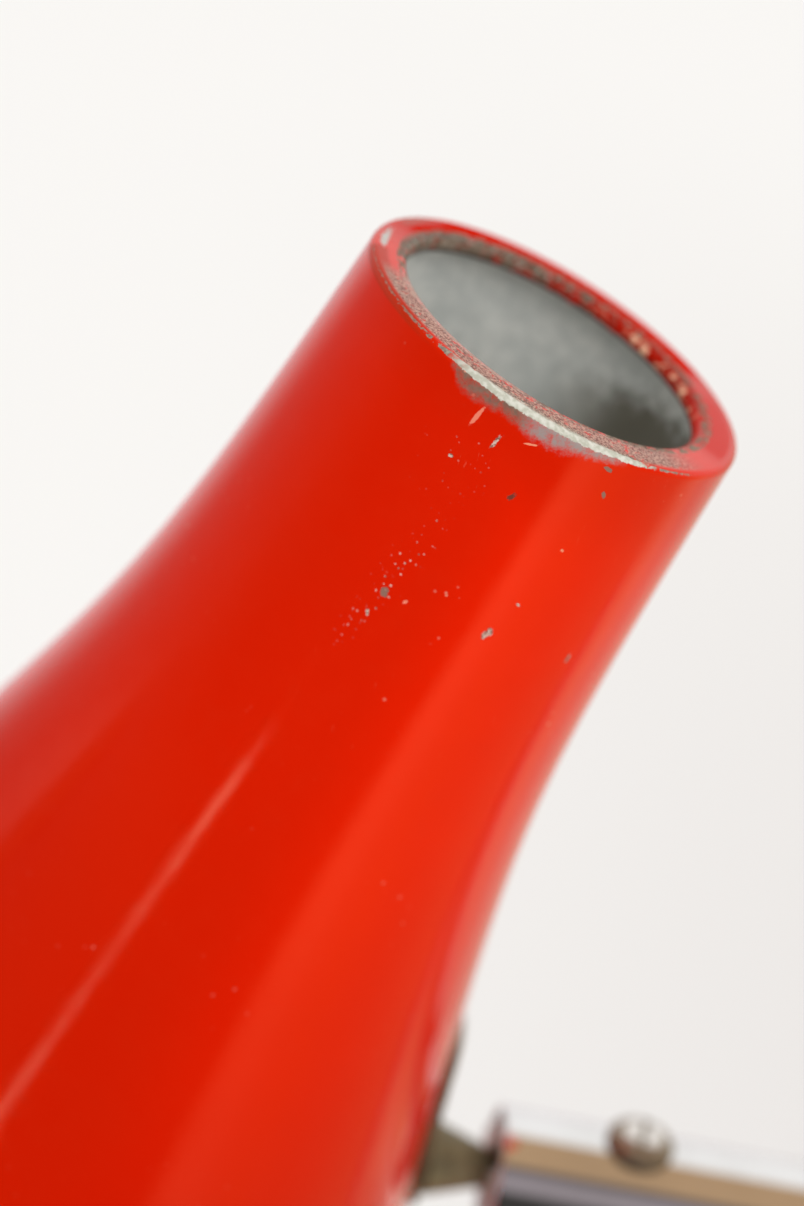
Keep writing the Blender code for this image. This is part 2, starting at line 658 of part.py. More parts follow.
# name: finish, frame, steps, outline of (radius, height above the table)
COLUMN_PIECES = {
    "thrust_washer": ("fibre", BASE, 20, [
        (15.7, WASHER_TOP), (15.7, WASHER_Z), (WASHER_BORE, WASHER_Z), (WASHER_BORE, WASHER_TOP),
    ]),
    "column_collar": ("chrome", STAND, 20, [
        (13.8, COLLAR_TOP), (COLLAR_R, COLLAR_Z + 7.6), (COLLAR_R, COLLAR_Z),
        (RING_BORE, COLLAR_Z), (RING_BORE, COLLAR_TOP),
    ]),
    "column_bush": ("brass", BASE, 18, [
        (17.4, BUSH_TOP), (18.2, BUSH_TOP - 0.8), (18.2, BASE_TOP + GAP),
        (BUSH_R, BASE_TOP + GAP), (BUSH_R, BUSH_FOOT), (BUSH_BORE, BUSH_FOOT),
        (BUSH_BORE, BUSH_TOP),
    ]),
    "retaining_ring": ("steel", STAND, 20, [
        (13.8, 13.5), (13.8, 11.9), (RING_BORE, 11.9), (RING_BORE, 13.5),
    ]),
}


def build_column_foot():
    pieces = {
        name: turned(name, outline, ORIGIN, UPRIGHT, finish, frame, steps)
        for name, (finish, frame, steps, outline) in COLUMN_PIECES.items()
    }
    drill(pieces["column_collar"], "collar_screw_hole", 2.2, 8, (15.0, 0, COLLAR_SCREW_Z),
          ALONG_X, segments=14)
    lug = box("ring_lug", (6.0, 5.0, 1.6), (16.2, 0, 12.7))
    boolean(pieces["retaining_ring"], lug, "UNION")
    nut("bush_nut", 34.0, 3.6, BUSH_HOLE_R, (0, 0, 16.2), UPRIGHT, "steel", BASE)


def build_collar_screw():
    grub = rod("collar_screw", 1.9, 3.3, (13.2, 0, COLLAR_SCREW_Z), ALONG_X, "steel", STAND, 14)
    mill(grub, "collar_screw_slot", (1.4, 6, 0.7), (14.9, 0, COLLAR_SCREW_Z))


# ---- base -----------------------------------------------------------------------
REAR = BASE_X + BASE_R  # the base's edge towards +X
PLATE_BOTTOM, BOTTOM_T = FELT_T + GAP, 1.2
WEIGHT_LOW, WEIGHT_TOP = PLATE_BOTTOM + BOTTOM_T + GAP, 18.3
HUB_LOW, HUB_TOP = 12.0, COVER_UNDER - GAP
NUT_RECESS_TOP, NUT_RECESS_HEIGHT = 18.3, 24.4
WAY_HEIGHT, WAY_Z = 16.0, 4.0  # cable ways in the weight's underside
BASE_SCREW_CIRCLE = 70

# outlines of (radius, height above the table)
COVER_OUTLINE = [
    (0, BASE_TOP), (86.0, BASE_TOP), (91.0, BASE_TOP - 1.2), (94.2, BASE_TOP - 4.6),
    (BASE_R, BASE_TOP - 9.0), (BASE_R, 1.8), (BASE_R - COVER_T, 1.8),
    (BASE_R - COVER_T, BASE_TOP - 9.2), (93.0, BASE_TOP - 5.4), (90.4, BASE_TOP - 2.4),
    (86.0, COVER_UNDER), (0, COVER_UNDER),
]
WEIGHT_OUTLINE = [
    (0, WEIGHT_TOP), (86.0, WEIGHT_TOP), (90.0, WEIGHT_TOP - 3.0), (92.0, WEIGHT_TOP - 8.0),
    (92.0, WEIGHT_LOW), (0, WEIGHT_LOW),
]
BASE_SCREW_OUTLINE = [
    (0, 12.5), (2.0, 12.0), (2.0, FELT_T - 0.1), (4.0, FELT_T - 0.1), (4.0, FELT_T - 0.8),
    (3.0, FELT_T - 1.7), (0, FELT_T - 1.7),
]
PEG_OUTLINE = [(0, 13.2), (1.5, 13.2), (1.5, PLATE_BOTTOM + 0.1), (0, PLATE_BOTTOM + 0.1)]


def build_cover():
    cover = turned("base_cover", COVER_OUTLINE, (BASE_X, 0, 0), UPRIGHT,
                   "red_enamel", BASE, steps=32)
    drill(cover, "cover_bush_hole", BUSH_HOLE_R, 10, (0, 0, BASE_TOP), segments=28)
    drill(cover, "cover_switch_hole", 6.3, 10, (SWITCH_X, SWITCH_Y, BASE_TOP))
    drill(cover, "cover_cable_hole", 4.4, 12, (REAR, 0, CABLE_Z), ALONG_X, segments=18)


def build_weight():
    weight = turned("base_weight", WEIGHT_OUTLINE, (BASE_X, 0, 0), UPRIGHT,
                    "cast_iron", BASE, steps=28)
    hub = rod("weight_hub", 22.0, HUB_TOP - HUB_LOW, (0, 0, (HUB_TOP + HUB_LOW) / 2), segments=28)
    boolean(weight, hub, "UNION")
    drill(weight, "weight_bush_hole", BUSH_HOLE_R, 60, (0, 0, 30), segments=28)
    drill(weight, "weight_nut_recess", 21.0, NUT_RECESS_HEIGHT,
          (0, 0, NUT_RECESS_TOP - NUT_RECESS_HEIGHT / 2), segments=28)
    mill(weight, "weight_cable_way", (70, 9.0, WAY_HEIGHT), (40, 0, WAY_Z))
    drill(weight, "weight_switch_pocket", 11.5, 30, (SWITCH_X, SWITCH_Y, 24.0), segments=24)
    # a way from the switch to the column
    mill(weight, "weight_switch_way", (math.hypot(SWITCH_X, SWITCH_Y), 7.0, WAY_HEIGHT),
         (SWITCH_X / 2, SWITCH_Y / 2, WAY_Z), (0, 0, math.atan2(-SWITCH_Y, -SWITCH_X)))
    return weight


def build_base_screws(weight, bottom, felt):
    for k in range(3):
        angle = math.radians(60 + 120 * k)
        x = BASE_X + BASE_SCREW_CIRCLE * math.cos(angle)
        y = BASE_SCREW_CIRCLE * math.sin(angle)
        drill(weight, f"weight_screw_hole_{k}", 2.3, 20, (x, y, 4.0), segments=12)
        drill(bottom, f"bottom_screw_hole_{k}", 2.3, 8, (x, y, 4.0), segments=12)
        drill(felt, f"felt_screw_hole_{k}", 5.2, 8, (x, y, 2.0), segments=12)
        screw = turned(f"base_screw_{k + 1}", BASE_SCREW_OUTLINE, (x, y, 0), UPRIGHT,
                       "steel", BASE, steps=12)
        mill(screw, f"base_screw_slot_{k}", (9, 0.8, 1.2), (x, y, FELT_T - 1.7), (0, 0, angle))


def build_base():
    build_cover()
    weight = build_weight()
    bottom = rod("bottom_plate", 91.5, BOTTOM_T, (BASE_X, 0, PLATE_BOTTOM + BOTTOM_T / 2),
                 UPRIGHT, "steel", BASE, segments=32)
    felt = rod("felt_pad", 90.0, FELT_T, (BASE_X, 0, FELT_T / 2), UPRIGHT,
               "felt", BASE, segments=32)
    build_base_screws(weight, bottom, felt)
    # the lug on the ring meets this peg at either end of the swivel
    drill(bottom, "bottom_peg_hole", 1.8, 8, (-STOP_X, 0, 4.0), segments=12)
    turned("stop_peg", PEG_OUTLINE, (-STOP_X, 0, 0), UPRIGHT, "steel", BASE, steps=14)


# ---- switch ---------------------------------------------------------------------
BODY_FLOOR, BODY_END = COVER_UNDER - 10.5, COVER_UNDER - 14.5
BUTTON_END = COVER_UNDER - 5.5

# name: finish, frame, steps, outline of (radius, height above the table)
SWITCH_PIECES = {
    "switch_body": ("bakelite", BASE, 22, [
        (6.0, BASE_TOP + 1.2), (6.0, COVER_UNDER - 2.0), (9.5, COVER_UNDER - 2.3),
        (9.5, BODY_END), (0, BODY_END), (0, BODY_FLOOR), (4.3, BODY_FLOOR),
        (4.3, BASE_TOP + 1.2),
    ]),
    "switch_nut": ("chrome", BASE, 18, [
        (8.6, BASE_TOP + 2.0), (9.2, BASE_TOP + 1.4), (9.2, BASE_TOP + GAP),
        (6.3, BASE_TOP + GAP), (6.3, BASE_TOP + 2.0),
    ]),
    "switch_button": ("bakelite", BUTTON, 20, [
        (0, BASE_TOP + 5.0), (2.4, BASE_TOP + 4.7), (3.6, BASE_TOP + 3.8),
        (4.0, BASE_TOP + 2.8), (4.0, BUTTON_END), (0, BUTTON_END),
    ]),
}


def build_switch():
    for name, (finish, frame, steps, outline) in SWITCH_PIECES.items():
        turned(name, outline, (SWITCH_X, SWITCH_Y, 0), UPRIGHT, finish, frame, steps)


# ---- mains cable and plug -------------------------------------------------------
PLUG_X, PLUG_Y, PLUG_Z = REAR - 58.5, 141, 9.0
PLUG_FACE_X = PLUG_X - 27  # the end the pins stand on
PIN_Y, PIN_LENGTH = 4.6, 24.0
TABLE_Z = 3.4  # the cable's axis where it lies on the table

# (radius, distance along +X from the piece's origin)
GROMMET_OUTLINE = [
    (5.8, 2.6), (6.0, 2.0), (6.0, 0.3), (4.1, 0.3), (4.1, -COVER_T - 0.7),
    (5.6, -COVER_T - 0.7), (5.6, -COVER_T - 2.2), (3.3, -COVER_T - 2.2), (3.3, 2.6),
]
PLUG_OUTLINE = [
    (3.3, 0.0), (4.6, 0.0), (5.6, -4.0), (8.6, -9.0), (8.8, -30.0), (8.0, -31.0),
    (0, -31.0), (0, -2.0), (3.3, -2.0),
]
MAINS_KNOTS = [
    (2.0, 0, CABLE_Z - 0.4), (20, 0, CABLE_Z), (REAR, 0, CABLE_Z), (REAR + 16, 0, 6.6),
    (REAR + 40, 6, TABLE_Z), (REAR + 85, 34, TABLE_Z), (REAR + 96, 86, TABLE_Z),
    (REAR + 55, 128, TABLE_Z), (REAR + 2, 140, TABLE_Z), (REAR - 30, PLUG_Y, 5.5),
    (REAR - 46, PLUG_Y, 8.6), (REAR - 56, PLUG_Y, PLUG_Z),
]


def build_mains_cable():
    turned("cable_grommet", GROMMET_OUTLINE, (REAR + 0.1, 0, CABLE_Z), ALONG_X,
           "rubber", BASE, steps=14)
    wire("mains_cable", smooth_path(MAINS_KNOTS, per_span=3), 2.9, "cable_sheath", BASE)


def build_plug():
    body = turned("plug_body", PLUG_OUTLINE, (PLUG_X + 4.0, PLUG_Y, PLUG_Z), ALONG_X,
                  "rubber", BASE, steps=16)
    for side, name in ((-1, "plug_pin_a"), (1, "plug_pin_b")):
        y = PLUG_Y + side * PIN_Y
        drill(body, name + "_hole", 2.25, 12, (PLUG_FACE_X, y, PLUG_Z), ALONG_X, segments=12)
        pin = rod(name, 1.95, PIN_LENGTH, (PLUG_X - 21.4 - PIN_LENGTH / 2, y, PLUG_Z), ALONG_X,
                  "brass", BASE, segments=12)
        bevel = pin.modifiers.new("Edge", "BEVEL")
        bevel.width = 0.5 * UNIT
        bevel.segments = 1
        bevel.limit_method = "ANGLE"
        bevel.angle_limit = math.radians(60)


# ---- cable from the cone up and over to the lampholder's nipple -----------------
STUD_END = JOINT.x - STUD_LENGTH
HEAD_CABLE_KNOTS = [
    from_pivot(-5.6, 0, 0), JOINT,
    (STUD_END, 0, ARM_HEIGHT), (STUD_END - 5, 0.4, ARM_HEIGHT + 0.3),
    in_shade(32, 9, -132), in_shade(26, 17, -108), in_shade(22, 20, -82),
    in_shade(15, 15, -59), in_shade(6, 6, -50), in_shade(0.6, 0.6, -53.5),
    in_shade(0, 0, -60), in_shade(0, 0, -74),
]


def build_head_cable():
    wire("head_cable", smooth_path(HEAD_CABLE_KNOTS, per_span=2), 1.55, "cable_sheath", HEAD)


build_shade()
build_saddle()
build_plate_screw()
build_cone()
build_bracket()
build_inside_fasteners()
build_holder_and_cap()
build_bulb_glass()
build_spigot()
build_pins_and_joint_cable()
build_tube()
build_retaining_screw()
build_column_cable()
build_column_foot()
build_collar_screw()
build_base()
build_switch()
build_mains_cable()
build_plug()
build_head_cable()
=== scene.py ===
import json
import math

import bmesh
import bpy
from mathutils import Euler, Matrix, Vector

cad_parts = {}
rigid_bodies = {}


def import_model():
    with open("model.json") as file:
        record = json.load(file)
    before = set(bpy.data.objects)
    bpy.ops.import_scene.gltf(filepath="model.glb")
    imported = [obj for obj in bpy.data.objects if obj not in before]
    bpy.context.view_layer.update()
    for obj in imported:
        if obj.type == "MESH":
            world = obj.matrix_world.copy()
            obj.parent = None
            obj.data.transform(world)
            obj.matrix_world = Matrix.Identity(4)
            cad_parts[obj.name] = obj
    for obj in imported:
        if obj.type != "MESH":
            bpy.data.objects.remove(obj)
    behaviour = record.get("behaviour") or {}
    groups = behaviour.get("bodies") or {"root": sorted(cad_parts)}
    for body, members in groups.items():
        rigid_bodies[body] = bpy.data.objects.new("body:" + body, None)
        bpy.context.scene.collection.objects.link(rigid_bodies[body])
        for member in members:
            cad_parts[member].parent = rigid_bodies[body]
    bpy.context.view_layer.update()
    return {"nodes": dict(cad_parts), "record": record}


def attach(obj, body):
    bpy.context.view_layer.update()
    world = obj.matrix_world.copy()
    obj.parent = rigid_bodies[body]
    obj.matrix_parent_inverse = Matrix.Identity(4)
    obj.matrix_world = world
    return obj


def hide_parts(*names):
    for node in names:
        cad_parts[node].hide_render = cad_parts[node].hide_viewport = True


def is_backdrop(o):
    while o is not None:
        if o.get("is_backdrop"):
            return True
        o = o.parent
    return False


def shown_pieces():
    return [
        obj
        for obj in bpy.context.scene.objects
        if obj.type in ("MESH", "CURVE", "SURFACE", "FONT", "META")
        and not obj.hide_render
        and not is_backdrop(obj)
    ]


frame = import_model()
NODES = frame["nodes"]
BODY = {n: o.parent.name.split("body:")[-1] for n, o in NODES.items() if o.parent}

SLOTS = {part["node"]: part["material_slot"] for part in frame["record"]["subparts"]}

MM = 0.001
scene = bpy.context.scene

# ---------------------------------------------------------------- dimensions, mm
ARM_HEIGHT, TUBE_R, TUBE_WALL, TUBE_MOUTH_X, TUBE_FOOT_Z, BEND_R = 280.0, 11.0, 1.2, -200.0, 11.0, 60.0
PIVOT_X = TUBE_MOUTH_X + 3.5
NECK_R, NECK_TAPER, FLARE, FLARE_START, FLARE_BLEND = 30.4, 0.055, 0.245, 66.0, 14.0
SHADE_DEPTH, WALL, JOINT_DEPTH = 205.0, 1.2, 141.3
BASE_R, BASE_X, TOP = 95.0, -45.0, 30.0
SWITCH_X, SWITCH_Y = -62.0, -60.0


def shade_r(d):
    return NECK_R + NECK_TAPER * d + FLARE * FLARE_BLEND * math.log1p(math.exp((d - FLARE_START) / FLARE_BLEND))


def shade_slope(d):
    return NECK_TAPER + FLARE / (1 + math.exp((FLARE_START - d) / FLARE_BLEND))


LEAN = math.atan(shade_slope(JOINT_DEPTH))
UP = Vector((math.sin(LEAN), 0, math.cos(LEAN)))
OUT = Vector((math.cos(LEAN), 0, -math.sin(LEAN)))
JOINT = Vector((TUBE_MOUTH_X - 13.0, 0, ARM_HEIGHT))
RIM = JOINT + UP * JOINT_DEPTH - OUT * shade_r(JOINT_DEPTH)
PIVOT = Vector((PIVOT_X, 0, ARM_HEIGHT))


def in_shade(r, y, z):
    return RIM + OUT * r + Vector((0, y, 0)) + UP * z


def on_shade(depth, across, lift):
    r = shade_r(depth)
    angle = across / r
    slope = math.atan(shade_slope(depth))
    r += lift * math.cos(slope)
    return in_shade(r * math.cos(angle), r * math.sin(angle), -depth + lift * math.sin(slope))


# ---------------------------------------------------------------- node helper
class Val:
    """A node socket that can be used in arithmetic."""

    def __init__(self, net, socket):
        self.net, self.socket = net, socket

    def __add__(self, o):
        return self.net.math("ADD", self, o)

    __radd__ = __add__

    def __sub__(self, o):
        return self.net.math("SUBTRACT", self, o)

    def __rsub__(self, o):
        return self.net.math("SUBTRACT", o, self)

    def __mul__(self, o):
        return self.net.math("MULTIPLY", self, o)

    __rmul__ = __mul__

    def __truediv__(self, o):
        return self.net.math("DIVIDE", self, o)


class Net:
    def __init__(self, tree):
        self.tree = tree
        tree.nodes.clear()

    def node(self, kind, inputs=None, **settings):
        n = self.tree.nodes.new(kind)
        for key, value in settings.items():
            setattr(n, key, value)
        for key, value in (inputs or {}).items():
            self.feed(n.inputs[key], value)
        return n

    def feed(self, socket, value):
        if isinstance(value, Val):
            self.tree.links.new(value.socket, socket)
        elif isinstance(value, (tuple, list)) and len(value) == 3 and socket.type == "RGBA":
            socket.default_value = (*value, 1)
        else:
            socket.default_value = value

    def out(self, n, key=0):
        return Val(self, n.outputs[key])

    def math(self, op, a, b=None, c=None, clamp=False):
        n = self.node("ShaderNodeMath", operation=op, use_clamp=clamp)
        for i, value in enumerate((a, b, c)):
            if value is not None:
                self.feed(n.inputs[i], value)
        return self.out(n)

    def smooth(self, x, a, b, low=0.0, high=1.0):
        n = self.node("ShaderNodeMapRange", {"Value": x, "From Min": a, "From Max": b, "To Min": low, "To Max": high},
                      interpolation_type="SMOOTHSTEP", clamp=True)
        return self.out(n, "Result")

    def linear(self, x, a, b, low=0.0, high=1.0):
        n = self.node("ShaderNodeMapRange", {"Value": x, "From Min": a, "From Max": b, "To Min": low, "To Max": high},
                      clamp=True)
        return self.out(n, "Result")

    def most(self, *values):
        made = values[0]
        for v in values[1:]:
            made = self.math("MAXIMUM", made, v)
        return made

    def least(self, *values):
        made = values[0]
        for v in values[1:]:
            made = self.math("MINIMUM", made, v)
        return made

    def mix(self, f, a, b):
        n = self.node("ShaderNodeMix", data_type="RGBA", clamp_factor=True)
        self.feed(n.inputs[0], f)
        self.feed(n.inputs[6], a)
        self.feed(n.inputs[7], b)
        return Val(self, n.outputs[2])

    def mixf(self, f, a, b):
        n = self.node("ShaderNodeMix", data_type="FLOAT", clamp_factor=True)
        self.feed(n.inputs[0], f)
        self.feed(n.inputs[2], a)
        self.feed(n.inputs[3], b)
        return Val(self, n.outputs[0])

    def noise(self, vector, scale, detail=2.0, rough=0.5, key="Fac", distortion=0.0):
        n = self.node("ShaderNodeTexNoise", {"Vector": vector, "Scale": scale, "Detail": detail, "Roughness": rough,
                                             "Distortion": distortion})
        return self.out(n, key)

    def cells(self, vector, scale, key="Distance", feature="F1", random=1.0):
        n = self.node("ShaderNodeTexVoronoi", {"Vector": vector, "Scale": scale, "Randomness": random}, feature=feature)
        return self.out(n, key)

    def curve(self, x, points, linear=True):
        n = self.node("ShaderNodeFloatCurve", {"Value": x})
        line = n.mapping.curves[0]
        n.mapping.clip_min_y, n.mapping.clip_max_y = -100, 100
        line.points[0].location = points[0]
        line.points[1].location = points[-1]
        for p in points[1:-1]:
            line.points.new(*p)
        for p in line.points:
            p.handle_type = "VECTOR" if linear else "AUTO"
        n.mapping.update()
        return self.out(n)

    def scaled(self, vector, x, y, z):
        n = self.node("ShaderNodeMapping", {"Vector": vector, "Scale": (x, y, z)})
        return self.out(n)

    def bump(self, height, strength=1.0, distance=0.001, normal=None):
        n = self.node("ShaderNodeBump", {"Height": height, "Strength": strength, "Distance": distance})
        if normal is not None:
            self.feed(n.inputs["Normal"], normal)
        return self.out(n)

    def mm(self):
        """Position on the piece in millimetres."""
        coords = self.node("ShaderNodeTexCoord")
        n = self.node("ShaderNodeVectorMath", operation="SCALE")
        self.feed(n.inputs[0], self.out(coords, "Object"))
        n.inputs["Scale"].default_value = 1000
        return self.out(n)


def material(name, build):
    mat = bpy.data.materials.new(name)
    mat.use_nodes = True
    net = Net(mat.node_tree)
    inputs = build(net)
    surface = inputs.pop("surface", None)
    if surface is None:
        shader = net.node("ShaderNodeBsdfPrincipled", inputs)
        surface = net.out(shader)
    output = net.node("ShaderNodeOutputMaterial")
    net.feed(output.inputs["Surface"], surface)
    return mat


# ---------------------------------------------------------------- materials
RED = (0.76, 0.0125, 0.0004)


def enamel_wear(net, p):
    """Fine blemishes shared by the red pieces: pin specks and hairlines."""
    speck = net.cells(p, 0.42, "Distance")
    pick = net.noise(p, 0.06, 2)
    pins = net.smooth(speck, 0.14, 0.05) * net.smooth(pick, 0.56, 0.66)
    stretched = net.scaled(p, 1.4, 1.4, 0.07)
    hair = net.smooth(net.noise(stretched, 1.6, 3, 0.6), 0.69, 0.75) * net.smooth(net.noise(p, 0.05, 1), 0.5, 0.62)
    return pins, hair


def spot(net, az, dep, a0, d0, length, width, turn, warp, soft=0.2):
    """A mark on the shade's wall at azimuth a0 and depth d0. turn 0 lies around the shade and 90 runs down it."""
    r = shade_r(d0)
    warp = warp * 1.5
    x = (az - a0) * (math.pi / 180 * r)
    y = dep - d0
    c, s = math.cos(math.radians(turn)), math.sin(math.radians(turn))
    u = (x * c + y * s) * (1 / length)
    v = (y * c - x * s) * (1 / width)
    d = net.math("SQRT", u * u + v * v) + warp
    return net.smooth(d, 1.0 + soft, 1.0 - soft)


def shade_look(net):
    p = net.mm()
    uv = net.node("ShaderNodeUVMap", uv_map="turned")
    split = net.node("ShaderNodeSeparateXYZ", {0: net.out(uv)})
    az = net.out(split, "X") * 360.0 - 180.0
    s = net.out(split, "Y") * 300.0  # mm from the crease: down the wall, or inwards over the lip when negative
    turn = net.out(split, "X")

    rough_edge = net.noise(p, 1.1, 5, 0.62) - 0.5
    fine_edge = net.noise(p, 4.0, 3, 0.6) - 0.5
    warp = rough_edge * 1.6 + fine_edge * 0.7

    def at(a):
        return (a + 180) / 360

    # bare strip along the crease, widest on the side by azimuth -100
    over = net.curve(turn, [(0, 0.12), (at(-160), 0.2), (at(-140), 0.25), (at(-128), 0.5), (at(-118), 1.0), (at(-108), 1.75),
                            (at(-92), 1.9), (at(-80), 1.2), (at(-68), 0.55), (at(-58), 0.3), (at(-46), 0.05), (at(-40), 0.0), (1, 0.0)])
    under = net.curve(turn, [(0, 0.1), (at(-160), 0.15), (at(-140), 0.2), (at(-128), 0.35), (at(-118), 0.5), (at(-108), 0.65),
                             (at(-92), 0.55), (at(-80), 0.45), (at(-68), 0.3), (at(-58), 0.15), (at(-46), 0.05), (at(-40), -0.1), (1, -0.1)])
    jag = warp * 0.75
    high = s + over * 0.9 + 0.05 + jag * over
    low = under - 0.1 + jag * 0.7 - s
    strip_d = net.least(high, low)
    strip = net.smooth(strip_d, -0.05, 0.06)
    broken = net.smooth(net.noise(p, 0.9, 3, 0.6), 0.43, 0.5)
    side = net.smooth(az, -132.0, -118.0)
    ends = net.smooth(az, -62.0, -70.0)
    strip = strip * net.most(net.least(side, ends), broken)
    # a darker broken band inside the strip
    dark_line = net.smooth(strip_d, -0.75, -0.35) * net.smooth(s, -0.2, -0.6) * net.smooth(az, -128.0, -116.0) * net.smooth(az, -56.0, -70.0)
    dark_line = dark_line * net.smooth(net.noise(p, 1.6, 3, 0.6), 0.36, 0.46)

    # thin primer haze below the strip
    haze_w = net.curve(turn, [(0, 0.0), (at(-128), 0.0), (at(-121), 1.8), (at(-114), 2.6), (at(-106), 2.1), (at(-101), 2.4), (at(-94), 2.7),
                              (at(-86), 2.0), (at(-79), 1.3), (at(-73), 0.5), (at(-66), 0.0), (1, 0.0)], linear=False)
    haze = net.smooth(haze_w + 0.15 + warp * 1.3 - s, -0.9, 0.9) * net.smooth(s, -0.3, 0.1) * net.smooth(haze_w, 0.05, 0.5)
    haze = haze * net.smooth(net.noise(p, 0.9, 5, 0.7), 0.25, 0.62, 0.35, 1.0)
    bluish = net.smooth(az, -103.0, -97.0)

    marks = []
    marks.append((spot(net, az, s, -111.1, 4.7, 1.55, 0.30, 99, warp * 0.55), "pale"))
    marks.append((spot(net, az, s, -103.7, 6.3, 1.1, 0.30, 100, warp * 0.9), "mixed"))
    marks.append((spot(net, az, s, -96.0, 4.0, 0.85, 0.16, -22, warp * 0.7), "peach"))
    marks.append((spot(net, az, s, -92.9, 11.7, 0.7, 0.36, 112, warp * 0.9), "dark"))
    marks.append((spot(net, az, s, -79.1, 31.3, 0.95, 0.5, 110, warp * 0.9), "mixed"))
    marks.append((spot(net, az, s, -106.8, 33.1, 0.75, 0.55, 60, warp * 1.1), "grey"))
    marks.append((spot(net, az, s, -107.4, 36.9, 0.5, 0.3, 60, warp * 1.1), "mixed"))
    marks.append((spot(net, az, s, -74.7, 2.4, 0.7, 0.28, 20, warp * 1.2), "grey"))
    marks.append((spot(net, az, s, -71.8, 6.1, 0.5, 0.26, 60, warp * 1.3), "grey"))
    marks.append((spot(net, az, s, -73.6, 15.8, 0.34, 0.2, 20, warp * 0.8), "peach"))
    marks.append((spot(net, az, s, -76.1, 25.7, 0.34, 0.18, 20, warp * 0.8), "mixed"))
    marks.append((spot(net, az, s, -101.1, 32.7, 0.4, 0.24, 120, warp * 0.8), "pale"))
    marks.append((spot(net, az, s, -52.4, 32.2, 0.7, 0.3, 100, warp * 1.0), "mixed"))
    marks.append((spot(net, az, s, -111.2, 11.4, 0.34, 0.26, 0, warp * 0.8), "mixed"))
    # a trail of specks running down the side
    along = spot(net, az, s, -107.0, 29.5, 10.5, 1.9, 97, warp * 0.5, soft=0.5)
    trail = net.smooth(net.cells(p, 1.15), 0.3, 0.12) * along * net.smooth(net.noise(p, 0.8, 2), 0.42, 0.56)
    near_rim = spot(net, az, s, -109.0, 10.5, 6.0, 4.5, 100, warp * 0.5, soft=0.5)
    trail = net.most(trail, net.smooth(net.cells(p, 0.9), 0.2, 0.08) * near_rim * 0.3)
    pins, hair = enamel_wear(net, p)
    pins = pins * net.smooth(s, 150.0, 20.0, 0.25, 1.0)

    # lip: worn inner edge
    bead_glint_noise = net.noise(p, 0.55, 4, 0.6)
    inner_edge = net.smooth(s, -3.9, -4.3) * net.smooth(s, -6.0, -5.3)
    lip_wear = inner_edge * net.smooth(net.noise(p, 0.75, 4, 0.65), 0.42, 0.52)
    low_lip = net.smooth(s, -7.4, -8.0) * net.smooth(net.noise(p, 0.8, 3, 0.6), 0.38, 0.46)
    # painted highlight: pale peach spots on the far lip, in place of glints on the bumpy paint
    painted_bead_glints = net.smooth(s, -5.6, -6.3) * net.smooth(s, -8.0, -7.4) * net.smooth(bead_glint_noise, 0.52, 0.58) * net.smooth(az, 74.0, 60.0) * net.smooth(az, 0.0, 8.0)
    # flange on the near side: rubbed brown, with a red edge left at the opening; the rubbed colour's lighter tones are
    # partly a painted highlight, and a painted pale highlight lies on the roll at the opening
    near = net.smooth(az, -172.0, -160.0) * net.smooth(az, -34.0, -56.0)
    rubbed_and_sheen = near * net.smooth(s, -0.5, -1.3) * net.smooth(s, -4.9, -4.0) * net.smooth(net.noise(p, 1.1, 5, 0.68) + net.noise(p, 0.25, 2) * 0.3, 0.47, 0.60)
    painted_roll_highlight = near * net.smooth(s, -3.9, -4.6) * net.smooth(s, -6.6, -5.6) * net.smooth(az, -92.0, -112.0)
    outer_left = net.smooth(net.math("ABSOLUTE", az), 128.0, 146.0) * net.smooth(az, 158.0, 150.0) * net.smooth(s, 1.4, 0.7) * net.smooth(s, -2.9, -1.9)
    # the far side of the lip, seen through the opening
    far = net.smooth(az, 2.0, 14.0)
    band = net.smooth(s, -4.4, -5.2) * net.smooth(s, -9.4, -8.8) * far
    cover = net.linear(az, 20.0, 130.0, -0.13, 0.10)
    scabs = band * net.smooth(net.noise(p, 0.62, 5, 0.66) + cover, 0.47, 0.54)
    glints = band * net.smooth(net.noise(p, 1.0, 3, 0.6), 0.58, 0.66) * net.smooth(az, 60.0, 90.0)
    # painted highlight: a light grey crescent on the crown at the left, also counted as bare in the roughness
    painted_crescent_highlight = spot(net, az, s, 172.0, -1.5, 4.2, 0.55, 0, warp * 0.9, soft=0.35) * net.smooth(net.noise(p, 1.3, 4, 0.65), 0.36, 0.46)
    inside = net.smooth(s + warp * 0.3, -8.6, -9.2)

    red = net.mix(net.smooth(net.noise(p, 0.035, 3), 0.35, 0.7), RED, (0.73, 0.0115, 0.0003))
    red = net.mix(net.smooth(net.noise(p, 0.35, 4, 0.6), 0.5, 0.8, 0, 0.25), red, (0.70, 0.012, 0.001))
    # painted shade: the red darkens towards the lower flare
    red = net.mix(net.smooth(s, 55.0, 150.0, 0.0, 0.75), red, (0.52, 0.0070, 0.0003))
    # painted shade: darker red on the flange, lip and inside away from the near side
    red = net.mix(net.smooth(s, 1.4, 0.4) * net.smooth(az, -36.0, -20.0) * net.smooth(az, 179.0, 162.0), red, (0.49, 0.0075, 0.0003))
